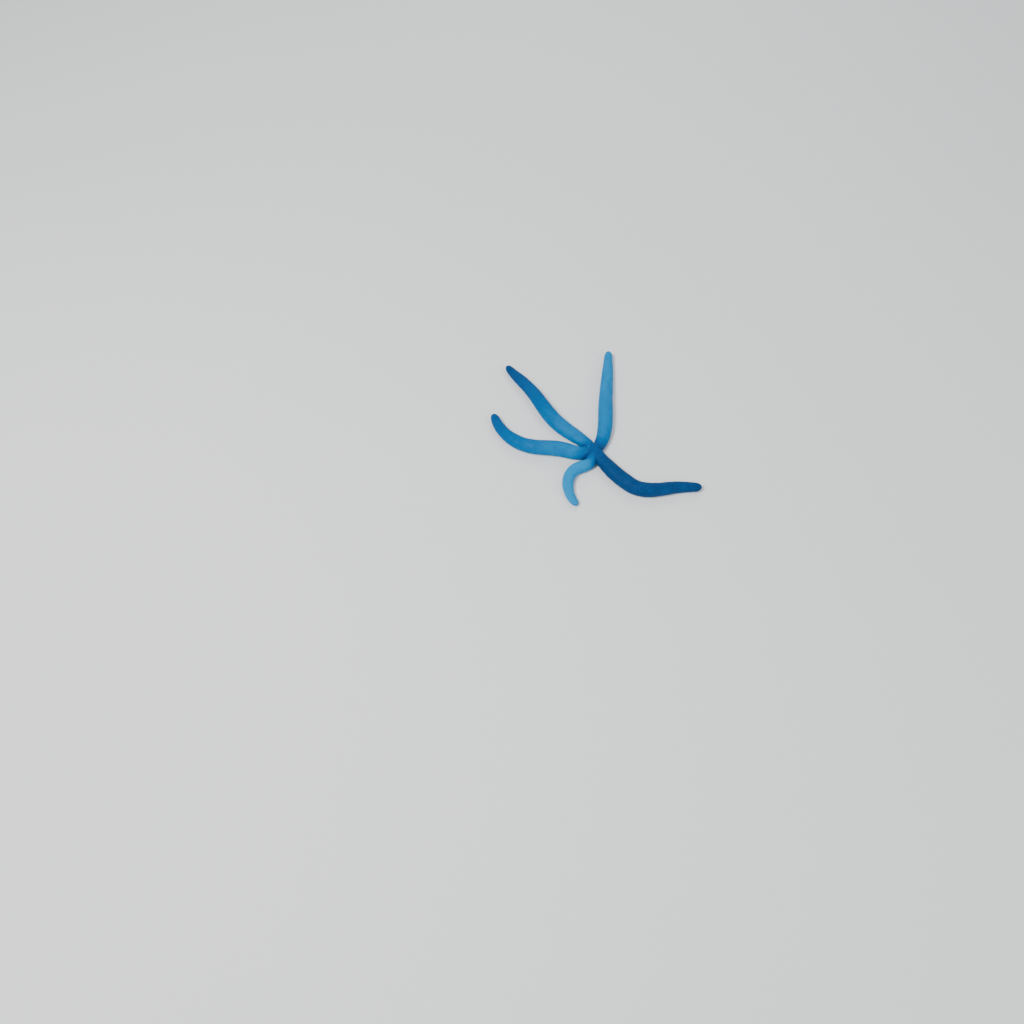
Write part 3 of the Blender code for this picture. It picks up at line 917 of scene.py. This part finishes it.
def bead_material(name, colour, share, roughness):
    """Small grains in the skin's own blue, with a share of a colour of their own."""
    material, tree = new_material(name, Specular_IOR_Level=SATIN)
    own = spread(tree, shade_of(tree, "tint"), 0.0, 1.0, 0.4 * share, 1.6 * share)
    tinted = blend(tree, own, blue_flesh(tree), colour)
    dull = patchy(tree, 2 * MM, roughness - 0.07, roughness + 0.07)
    join_shader(tree, Base_Color=tinted, Roughness=dull)
    return material


def soft_material(name, colour, other, size, roughness, **sockets):
    """Soft tissue of two near colours in cloudy patches, with a fine uneven surface."""
    material, tree = new_material(name, **sockets)
    patches = spread(tree, cloudy(tree, size), 0.35, 0.65, 0.0, 1.0)
    both = blend(tree, patches, colour, other)
    dull = patchy(tree, size / 2, roughness - 0.08, roughness + 0.08)
    relief = fine_relief(tree, cloudy(tree, size / 4), 0.4)
    join_shader(tree, Base_Color=both, Roughness=dull, Normal=relief)
    return material


def finish_piece(name, data, material, nodes=()):
    """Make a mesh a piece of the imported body, in place of the nodes that it replaces."""
    data.materials.clear()
    data.materials.append(material)
    data.shade_smooth()
    obj = bpy.data.objects.new(name, data)
    bpy.context.scene.collection.objects.link(obj)
    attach(obj, "root")
    if nodes:
        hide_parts(*nodes)


def turned_profile(profile, sides):
    """A mesh turned about Z from (radius, height) pairs."""
    mesh = bmesh.new()
    rings = []
    for radius, height in profile:
        if radius == 0:
            rings.append([mesh.verts.new((0, 0, height))] * sides)
            continue
        turns = [2 * math.pi * k / sides for k in range(sides)]
        rings.append([mesh.verts.new((radius * math.cos(t), radius * math.sin(t), height)) for t in turns])
    for upper, lower in zip(rings, rings[1:]):
        for k in range(sides):
            corners = [upper[k], upper[(k + 1) % sides], lower[(k + 1) % sides], lower[k]]
            mesh.faces.new(list(dict.fromkeys(corners)))
    return mesh


def lathe(name, profile, sides):
    """A closed turned shape, with the first and last points of its profile on the axis."""
    return bpy.data.objects.new(name, closed_mesh(name, turned_profile(profile, sides)))


def named_value(tree, name, kind):
    return add(tree, "GeometryNodeInputNamedAttribute", {"Name": name}, data_type=kind).outputs[0]


def drawn(tree, low, high, seed):
    """A number between two others, drawn for each piece."""
    values = {2: low, 3: high, "Seed": seed}
    return add(tree, "FunctionNodeRandomValue", values, data_type="FLOAT").outputs[1]


def varied(tree, spread_by, seed):
    """A factor near one, drawn for each piece."""
    small = reckon(tree, "SUBTRACT", 1.0, spread_by)
    return drawn(tree, small, reckon(tree, "ADD", 1.0, spread_by), seed)


def turned_by_chance(tree, facing, least, most, seed):
    """A rotation turned further about its own axes by angles drawn for each piece."""
    turns = {0: least, 1: most, "Seed": seed}
    angles = add(tree, "FunctionNodeRandomValue", turns, data_type="FLOAT_VECTOR").outputs[0]
    turn = add(tree, "FunctionNodeEulerToRotation", {0: angles}).outputs[0]
    return add(tree, "FunctionNodeRotateRotation", {0: facing, 1: turn}, rotation_space="LOCAL").outputs[0]


def scaled(tree, vector, factor):
    return add(tree, "ShaderNodeVectorMath", {0: vector, "Scale": factor}, operation="SCALE").outputs[0]


def carrying(tree, points, name, value, kind):
    """Points that each carry a value under a name."""
    values = {"Geometry": points, "Name": name, "Value": value}
    return add(tree, "GeometryNodeStoreNamedAttribute", values, data_type=kind, domain="POINT").outputs[0]


def tinted_points(tree, points, seed):
    """Points that each carry a tint of their own, from 0 to 1."""
    return carrying(tree, points, "tint", drawn(tree, 0.0, 1.0, seed), "FLOAT")


def stand_shapes(tree, plants, finish):
    """Shapes stood on points, made real and given their finish, as the tree's result."""
    planted = add(tree, "GeometryNodeInstanceOnPoints", plants).outputs[0]
    real = add(tree, "GeometryNodeRealizeInstances", {0: planted}).outputs[0]
    dressed = add(tree, "GeometryNodeSetMaterial", {"Geometry": real, "Material": finish}).outputs[0]
    tree.links.new(dressed, tree.nodes.new("NodeGroupOutput").inputs[0])


def new_tree(name, inputs, result):
    """A node tree with named inputs and one result, and the sockets that give those inputs."""
    tree = bpy.data.node_groups.new(name, "GeometryNodeTree")
    for label, kind in inputs.items():
        tree.interface.new_socket(label, in_out="INPUT", socket_type="NodeSocket" + kind)
    tree.interface.new_socket(result, in_out="OUTPUT", socket_type="NodeSocketGeometry")
    return tree, tree.nodes.new("NodeGroupInput").outputs


def one_shape(tree, shape):
    """A shape to be stood on points."""
    return add(tree, "GeometryNodeObjectInfo", {"Object": shape, "As Instance": True}).outputs["Geometry"]


def planting_tree():
    """A node tree that stands a shape on every root, growing the way and as large as the root says."""
    inputs = {
        "Roots": "Geometry",
        "Shape": "Object",
        "Size spread": "Float",
        "Lean": "Float",
        "Seed": "Int",
        "Finish": "Material",
    }
    tree, given = new_tree("planting", inputs, "Planted")
    way = {"Vector": named_value(tree, "grow", "FLOAT_VECTOR")}
    upright = add(tree, "FunctionNodeAlignRotationToVector", way, axis="Z").outputs[0]
    lean = scaled(tree, (1, 1, 0), given["Lean"])
    most = add(tree, "ShaderNodeVectorMath", {0: lean, 1: (0, 0, math.pi)}, operation="ADD").outputs[0]
    least = scaled(tree, most, -1.0)
    factor = varied(tree, given["Size spread"], given["Seed"])
    plants = {
        "Points": tinted_points(tree, given["Roots"], given["Seed"]),
        "Instance": one_shape(tree, given["Shape"]),
        "Rotation": turned_by_chance(tree, upright, least, most, given["Seed"]),
        "Scale": scaled(tree, named_value(tree, "size", "FLOAT_VECTOR"), factor),
    }
    stand_shapes(tree, plants, given["Finish"])
    return tree


def sown_points(tree, given):
    """Points spread over one piece of a skin, with their place on the unwrap, and how they are turned."""
    spots = {
        "Mesh": given["Skin"],
        "Distance Min": given["Spacing"],
        "Density Max": SOWING_DENSITY,
        "Density Factor": named_value(tree, "sown", "FLOAT"),
        "Seed": given["Seed"],
    }
    scattered = add(tree, "GeometryNodeDistributePointsOnFaces", spots, distribute_method="POISSON")
    pieces = {2: named_value(tree, "piece", "INT"), 3: given["Piece"]}
    other = add(tree, "FunctionNodeCompare", pieces, data_type="INT", operation="NOT_EQUAL").outputs[0]
    points = {"Geometry": scattered.outputs["Points"], "Selection": other}
    kept = add(tree, "GeometryNodeDeleteGeometry", points, domain="POINT").outputs[0]
    placed = carrying(tree, kept, "place", named_value(tree, "OFBake", "FLOAT_VECTOR"), "FLOAT_VECTOR")
    bare = add(tree, "GeometryNodeRemoveAttribute", {"Geometry": placed, "Name": "OFBake"}).outputs[0]
    return bare, scattered.outputs["Rotation"]


def sowing_tree():
    """A node tree that sows grains over a skin, no closer than a spacing, larger in the middle of a plate."""
    inputs = {
        "Skin": "Geometry",
        "Shape": "Object",
        "Spacing": "Float",
        "Smallest": "Float",
        "Largest": "Float",
        "Size spread": "Float",
        "Piece": "Int",
        "Seed": "Int",
        "Finish": "Material",
    }
    tree, given = new_tree("sowing", inputs, "Sown")
    points, facing = sown_points(tree, given)
    size = spread(tree, named_value(tree, "plate", "FLOAT"), 0.0, 1.0, given["Smallest"], given["Largest"])
    factor = varied(tree, given["Size spread"], given["Seed"])
    plants = {
        "Points": tinted_points(tree, points, given["Seed"]),
        "Instance": one_shape(tree, given["Shape"]),
        "Rotation": turned_by_chance(tree, facing, (0, 0, 0), (0, 0, math.pi), given["Seed"]),
        "Scale": reckon(tree, "MULTIPLY", size, factor),
    }
    stand_shapes(tree, plants, given["Finish"])
    return tree


def run_nodes(carrier, tree, shape, inputs):
    """What a node tree makes of a mesh and a shape, as one plain mesh laid out for baking."""
    obj = bpy.data.objects.new(carrier.name, carrier)
    for each in (obj, shape):
        bpy.context.scene.collection.objects.link(each)
    modifier = obj.modifiers.new("grow", "NODES")
    modifier.node_group = tree
    for socket in tree.interface.items_tree:
        if socket.name == "Shape":
            modifier[socket.identifier] = shape
        elif socket.name in inputs:
            modifier[socket.identifier] = inputs[socket.name]
    obj.update_tag()
    graph = bpy.context.evaluated_depsgraph_get()
    made = bpy.data.meshes.new_from_object(obj.evaluated_get(graph))
    obj.modifiers.remove(modifier)
    count = len(shape.data.vertices)
    for each in (obj, shape):
        bpy.data.objects.remove(each)
    lay_patches(made, count)
    keep_off_floor(made)
    return made


def keep_off_floor(data):
    """Flatten what would reach through the floor, as a sucker is where it holds on."""
    flat = np.zeros(len(data.vertices) * 3, np.float32)
    data.vertices.foreach_get("co", flat)
    flat[2::3] = np.maximum(flat[2::3], GROWTH_LOWEST)
    data.vertices.foreach_set("co", flat)
    data.update()


def sow(skin, piece, tree, material):
    """The grains of one piece of the skin: the inner or the outer half of an arm."""
    inputs = {
        "Spacing": GRAIN_SPACING,
        "Smallest": GRAIN_SIZES[0],
        "Largest": GRAIN_SIZES[1],
        "Size spread": GRAIN_SPREAD,
        "Piece": piece,
        "Seed": SEED,
        "Finish": material,
    }
    return run_nodes(skin.data.copy(), tree, bead_shape("grain_shape", GRAIN_SIDES), inputs)


class Planting:
    """Roots of many small like pieces, which are planted together as one piece."""

    def __init__(self, skin):
        self.skin = skin
        self.points, self.grow, self.size, self.vertex, self.place = [], [], [], [], []

    def root(self, spot, size, grow=None, sunk=0.0):
        point, normal, vertex, place = spot
        way = (grow or normal).normalized()
        self.points.append(point - way * sunk)
        self.grow.append(way)
        self.size.append(size if isinstance(size, tuple) else (size, size, size))
        self.vertex.append(vertex)
        self.place.append((*place, 0.0))

    def plant(self, name, tree, shape, material, slot, size_spread, lean, seed):
        """Stand a shape on every root, with the skin's shades and its place on the unwrap there."""
        data = bpy.data.meshes.new(name + "_roots")
        data.from_pydata([tuple(point) for point in self.points], [], [])
        for label, values in (("grow", self.grow), ("size", self.size), ("place", self.place)):
            flat = np.array([tuple(value) for value in values], np.float32).ravel()
            data.attributes.new(label, "FLOAT_VECTOR", "POINT").data.foreach_set("vector", flat)
        for shade in ("depth", "pale"):
            set_shade(data, shade, self.skin.shades[shade][self.vertex])
        inputs = {"Size spread": size_spread, "Lean": lean, "Seed": seed, "Finish": material}
        finish_piece(name, run_nodes(data, tree, shape, inputs), material)


def lay_patches(data, each):
    """Give every small piece a patch of its own on the skin's unwrap, at its root's place."""
    place = np.zeros(len(data.vertices) * 3, np.float32)
    data.attributes["place"].data.foreach_get("vector", place)
    place = place.reshape(-1, 3)[:, :2]
    corner = np.zeros(len(data.loops), np.int32)
    data.loops.foreach_get("vertex_index", corner)
    turn = (corner % each) * PATCH_TURN
    out = PATCH * np.sqrt((corner % each) / each)
    laid = place[corner] + np.stack([np.cos(turn), np.sin(turn)], axis=1) * out[:, None]
    layer = data.uv_layers.new(name="OFBake")
    layer.data.foreach_set("uv", laid.astype(np.float32).ravel())
    for label in ("place", "grow", "size", "sown", "cream", "plate", "piece"):
        if label in data.attributes:
            data.attributes.remove(data.attributes[label])


def bead_shape(name, sides):
    """A low rounded grain, one unit in half width, with its foot below the skin."""
    return lathe(name, [(0, 0.36), (0.62, 0.26), (1.0, -0.14), (0, -0.26)], sides)


def foot_shape():
    """A tube foot from its root at 0 down its own +Z to a sucker with a hollow middle at 1."""
    profile = [
        (0, 0),
        (0.60, 0),
        (0.55, 0.18),
        (0.64, 0.27),
        (0.52, 0.38),
        (0.58, 0.50),
        (0.47, 0.62),
        (0.48, 0.74),
        (0.66, 0.84),
        (0.98, 0.92),
        (0.92, 1.0),
        (0.45, 0.975),
        (0, 0.94),
    ]
    return lathe("foot_shape", profile, 9)


def spine_shape():
    """A short blunt spine from its root at 0 to its tip at 1."""
    profile = [(0, -0.25), (0.8, -0.25), (1.0, 0.25), (0.92, 0.62), (0.62, 0.9), (0, 1.0)]
    return lathe("spine_shape", profile, 7)


def plant_pores(skin, pores, draw):
    """Clusters of fine breathing papillae where the plates meet."""
    planting = Planting(skin)
    for i in pores:
        share = skin.share[i]
        point, normal, vertex, place = skin.vertex_spot(i)
        aside = normal.orthogonal().normalized()
        count = draw.choice((3, 4)) if share > 0.6 else 3
        start = draw.uniform(0, 2 * math.pi)
        for k in range(count):
            out = 0.0 if k == 0 else draw.uniform(*PAPILLA_RING) * share
            turn = start + 2 * math.pi * k / max(1, count - 1)
            way = Matrix.Rotation(turn, 3, normal) @ aside
            spot = (point + way * out, normal, vertex, place)
            planting.root(spot, draw.uniform(*PAPILLA_SIZES), sunk=PAPILLA_SUNK)
    return planting


def plant_feet(skin, draw):
    """Tube feet in two rows along each furrow, their suckers just off the floor."""
    planting = Planting(skin)
    for number, arm in enumerate(skin.body.arms):
        for side, shift in ((1, 0.0), (-1, 0.5)):
            s = FEET_FROM + shift * FEET_PITCH
            while s < arm.round_from() and arm.furrow_half(s) > SMALLEST_FURROW:
                share = arm.share(s)
                column = FURROW_MIDDLE - FURROW_STEPS * (2 / math.pi) * math.asin(FEET_OUT)
                spot = skin.spot(number, side, s, column)
                root = spot[0] + Vector((0, 0, FOOT_ROOT))
                across = direction(arm.heading(s) + 90) * side
                splay = Vector((*across, 0)) * draw.uniform(*FOOT_SPLAY)
                swing = Vector((*direction(arm.heading(s)), 0)) * draw.uniform(-FOOT_SWING, FOOT_SWING)
                down = Vector((0, 0, -1)) + splay + swing
                reach = (root.z - arm.rise(s) - draw.uniform(*FOOT_CLEAR)) / -down.normalized().z
                size = (FOOT_SIZE * share, FOOT_SIZE * share, reach)
                planting.root((root, *spot[1:]), size, grow=down)
                s += FEET_PITCH * (0.35 + 0.65 * share)
    return planting


def plant_spines(skin, draw):
    """Blunt spines that lean over each furrow, grains along its edge, and longer ones round the mouth."""
    planting = Planting(skin)
    for number, arm in enumerate(skin.body.arms):
        for side in (1, -1):
            s = SPINES_FROM
            while s < arm.round_from() + SPINES_PAST:
                share = arm.share(s)
                mouth = 1 - ease((s - 2 * MM) / (5 * MM))
                spot = skin.spot(number, side, s, FURROW_EDGE + 0.8)
                inward = Vector((*(direction(arm.heading(s) + 90) * -side), 0))
                inward = inward.lerp(Vector((*(DISC_CENTRE - spot[0].xy).normalized(), 0)), 0.5 * mouth)
                lean = inward + Vector((0, 0, -SPINE_FALL * (1 - 0.6 * mouth)))
                length = (SPINE_LENGTH + MOUTH_SPINE_MORE * mouth) * share
                wide = draw.uniform(*SPINE_WIDTHS) * (1 + 0.15 * mouth) * share
                planting.root(spot, (wide, wide, length), grow=lean)
                grain = skin.spot(number, side, s + SPINE_PITCH / 2, FURROW_EDGE - 1.2)
                size = EDGE_GRAIN * share
                planting.root(grain, (size, size, 0.9 * size), sunk=EDGE_GRAIN_SUNK)
                s += SPINE_PITCH * (0.4 + 0.6 * share)
    return planting


def groove_pattern(size, wanted, seed):
    """Winding ridges and grooves, from noise that is filtered to one width again and again."""
    field = np.random.default_rng(seed).normal(size=(size, size))
    steps = np.fft.fftfreq(size)
    ring = np.hypot(steps[:, None], steps[None, :])
    band = np.exp(-(((ring - wanted) / (GROOVE_BAND * wanted)) ** 2))
    for _ in range(GROOVE_ROUNDS):
        kept = np.fft.ifft2(np.fft.fft2(field) * band).real
        field = np.tanh(GROOVE_SHARPNESS * kept / kept.std())
    return field


def sieve_point(field, share, turn):
    """A point on the sieve plate's top, at a share of the way out from its middle to its uneven edge."""
    uneven = 1 + 0.045 * math.sin(3 * turn + 1) + 0.03 * math.sin(5 * turn)
    out = SIEVE_OUT * share * uneven
    x, y = out * math.cos(turn), out * math.sin(turn)
    column = int((x / SIEVE_GRID_ACROSS + 0.5) * SIEVE_GRID)
    line = int((y / SIEVE_GRID_ACROSS + 0.5) * SIEVE_GRID)
    groove = GROOVE_DEPTH * 0.5 * (field[line, column] - 1)
    fall = max(0.0, (share - SIEVE_ROUNDED) / (1 - SIEVE_ROUNDED))
    dome = SIEVE_DOME * (1 - share**2) - SIEVE_EDGE_FALL * (1 - math.sqrt(max(0.0, 1 - fall**2)))
    return x, y, dome + groove * (1 - fall) - SIEVE_SUNK


def make_sieve_plate():
    """The sieve plate: a low button with winding grooves and an uneven edge."""
    field = groove_pattern(SIEVE_GRID, SIEVE_GRID_ACROSS / GROOVE_PITCH / SIEVE_GRID, SEED)
    turns = [2 * math.pi * k / SIEVE_SIDES for k in range(SIEVE_SIDES)]
    mesh = bmesh.new()
    rings = []
    for ring in range(1, SIEVE_RINGS + 1):
        share = ring / SIEVE_RINGS
        rings.append([mesh.verts.new(sieve_point(field, share, turn)) for turn in turns])
    low = [mesh.verts.new((v.co.x, v.co.y, -SIEVE_FOOT)) for v in rings[-1]]
    rings.append(low)
    top = mesh.verts.new((0, 0, SIEVE_DOME - 2 * SIEVE_SUNK))
    bottom = mesh.verts.new((0, 0, -SIEVE_FOOT))
    for k in range(SIEVE_SIDES):
        after = (k + 1) % SIEVE_SIDES
        mesh.faces.new((top, rings[0][k], rings[0][after]))
        mesh.faces.new((bottom, low[after], low[k]))
        for inner, outer in zip(rings, rings[1:]):
            mesh.faces.new((inner[k], outer[k], outer[after], inner[after]))
    bmesh.ops.transform(mesh, matrix=sieve_frame(), verts=mesh.verts)
    return closed_mesh("sieve_plate", mesh)


def mouth_point(headings, degrees, share):
    """A point on the lower side of the mouth's skin, at a share of the way from its opening to its rim."""
    turn = math.radians(degrees)
    apart = min(abs((degrees - heading + 180) % 360 - 180) for heading in headings)
    lobe = math.exp(-((apart / MOUTH_LOBE) ** 2))
    rim = MOUTH_BETWEEN + MOUTH_TOWARDS * lobe
    fold = math.cos(MOUTH_FOLDS * turn + 1.2 * math.sin(2 * turn))
    out = MOUTH_HOLE * (1 + 0.12 * fold) + (rim - MOUTH_HOLE) * share
    lip = MOUTH_LIP * math.exp(-(((share - MOUTH_LIP_AT) / MOUTH_LIP_AT) ** 2))
    pucker = MOUTH_PUCKER * fold * math.sin(math.pi * min(1.0, 1.25 * share))
    height = MOUTH_LEVEL + MOUTH_SLOPE * share - lip + pucker + MOUTH_RISE * lobe * share**2
    return (*(DISC_CENTRE + direction(degrees) * out), height)


def make_mouth_skin(body):
    """The soft skin round the mouth: puckered, drawn in to an opening, and reaching out under each arm."""
    headings = [arm.heading(0) for arm in body.arms]
    shares = [step / (MOUTH_STEPS - 1) for step in range(MOUTH_STEPS)]
    below = [(share, 0.0) for share in shares]
    above = [(share, MOUTH_THICKNESS) for share in reversed(shares)]
    mesh = bmesh.new()
    loops = []
    for share, up in below + above:
        points = [mouth_point(headings, 360 * k / MOUTH_SIDES, share) for k in range(MOUTH_SIDES)]
        loops.append([mesh.verts.new((x, y, z + up)) for x, y, z in points])
    for row, after_row in zip(loops, loops[1:] + loops[:1]):
        for k in range(MOUTH_SIDES):
            after = (k + 1) % MOUTH_SIDES
            mesh.faces.new((row[k], row[after], after_row[after], after_row[k]))
    return closed_mesh("mouth_skin", mesh)


def plant_eyespots(skin):
    """A small red eyespot under each tip, where the furrow ends."""
    planting = Planting(skin)
    for number, arm in enumerate(skin.body.arms):
        spot = skin.spot(number, 1, eye_place(arm), FURROW_MIDDLE)
        planting.root(spot, EYE_SIZES, sunk=EYE_SUNK)
    return planting


def eye_shape():
    """A low smooth bead with its foot below the skin."""
    profile = [(0, 0.8), (0.5, 0.68), (0.87, 0.4), (1.0, 0.0), (0.7, -0.5), (0, -0.6)]
    return lathe("eye_shape", profile, 16)


def make_floor():
    """A pale floor that curves up far from the starfish, all round."""
    profile = [(FLOOR_RADIUS + BACKDROP_BEND, BACKDROP_TOP)]
    for turn in np.linspace(math.pi / 2, 0.1, 14):
        out = FLOOR_RADIUS + BACKDROP_BEND * math.sin(turn)
        profile.append((out, BACKDROP_BEND * (1 - math.cos(turn))))
    profile += [(FLOOR_RADIUS, 0), (1.6, 0), (0, 0)]
    data = smooth_mesh("floor", turned_profile(profile, FLOOR_SIDES))
    material, tree = new_material("pale_floor", Specular_IOR_Level=0.2, Roughness=0.85)
    faint = patchy(tree, 0.3, 0.0, 0.25)
    join_shader(tree, Base_Color=blend(tree, faint, FLOOR_PALE, FLOOR_SHADE))
    data.materials.append(material)
    floor = bpy.data.objects.new("floor", data)
    floor.location.z = -FLOOR_BELOW
    bpy.context.scene.collection.objects.link(floor)


def make_lights():
    """Plain soft studio light: three discs and an even sky."""
    for name, place, size, power, colour in LIGHTS:
        light = bpy.data.lights.new(name, "AREA")
        light.shape = "DISK"
        light.size = size
        light.energy = power
        light.color = colour
        obj = bpy.data.objects.new(name, light)
        obj.location = place
        obj.rotation_euler = (-Vector(place)).to_track_quat("-Z", "Y").to_euler()
        bpy.context.scene.collection.objects.link(obj)
    world = bpy.data.worlds.new("studio")
    world.use_nodes = True
    background = world.node_tree.nodes["Background"]
    background.inputs["Color"].default_value = SKY_COLOUR
    background.inputs["Strength"].default_value = SKY_STRENGTH
    bpy.context.scene.world = world


def make_camera():
    """The photograph's view: from in front and above, the starfish small in the frame."""
    camera = bpy.data.cameras.new("camera")
    camera.lens = CAMERA_LENS
    camera.sensor_width = CAMERA_SENSOR
    camera.clip_start = 0.01
    camera.clip_end = 50
    obj = bpy.data.objects.new("camera", camera)
    obj.location = Vector((*DISC_CENTRE, 0)) + Vector(CAMERA_OFFSET)
    obj.rotation_euler = (math.radians(90 - CAMERA_DOWN), 0, 0)
    bpy.context.scene.collection.objects.link(obj)
    bpy.context.scene.camera = obj


def dress(skin, pores):
    """Everything that grows on the skin."""
    papilla = bead_material("papilla_skin", PORE_BLUE, share=0.55, roughness=0.5)
    granule = bead_material("granule_skin", LIGHT_AZURE, share=0.08, roughness=0.54)
    feet_skin = soft_material(
        "tube_foot_skin", FOOT_CREAM, FOOT_PALE, size=1.2 * MM, roughness=0.42,
        Subsurface_Weight=0.25, Subsurface_Radius=(1.0, 0.7, 0.4), Subsurface_Scale=0.6 * MM,
    )
    spine_skin = soft_material("furrow_spine_skin", SPINE_CREAM, SPINE_BLUE, size=1.5 * MM, roughness=0.5)
    eye_skin = soft_material("eyespot_skin", EYE_RED, EYE_DARK, size=0.4 * MM, roughness=0.35)
    draw = random.Random(SEED + 1)
    tree = planting_tree()
    bead = bead_shape("papilla_shape", PAPILLA_SIDES)
    papillae = plant_pores(skin, pores, draw)
    papillae.plant("papillae", tree, bead, papilla, "skin", size_spread=0.12, lean=0.1, seed=1)
    sowing = sowing_tree()
    for number, arm in enumerate(skin.body.arms):
        for half, label in enumerate(("inner", "outer")):
            made = sow(skin, 2 * number + half, sowing, granule)
            finish_piece("grains_" + arm.name + "_" + label, made, granule)
    feet = plant_feet(skin, draw)
    feet.plant("tube_feet", tree, foot_shape(), feet_skin, "mouth_skin", size_spread=0.0, lean=0.03, seed=3)
    spines = plant_spines(skin, draw)
    spines.plant(
        "furrow_spines", tree, spine_shape(), spine_skin, "mouth_skin", size_spread=0.08, lean=0.1, seed=4
    )
    eyespots = plant_eyespots(skin)
    eyespots.plant("eyespots", tree, eye_shape(), eye_skin, "skin", size_spread=0.05, lean=0.0, seed=5)


def main():
    make_camera()
    skin = Skin(Body())
    pores = shape_skin(skin)
    flesh = [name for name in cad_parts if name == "disc" or name.startswith("arm_")]
    finish_piece("starfish_skin", skin.data, skin_material(), sorted(flesh))
    dress(skin, pores)
    sieve = soft_material(
        "sieve_plate_skin", SIEVE_BLUE, SIEVE_PALE, size=0.8 * MM, roughness=0.6, Specular_IOR_Level=SATIN
    )
    finish_piece("sieve_plate", make_sieve_plate(), sieve, ["madreporite"])
    lips = soft_material(
        "mouth_ring_skin", MOUTH_CREAM, MOUTH_TAN, size=1.0 * MM, roughness=0.38,
        Subsurface_Weight=0.2, Subsurface_Radius=(1.0, 0.6, 0.4), Subsurface_Scale=0.5 * MM,
    )
    finish_piece("mouth_ring", make_mouth_skin(skin.body), lips, ["mouth"])
    make_floor()
    make_lights()


main()
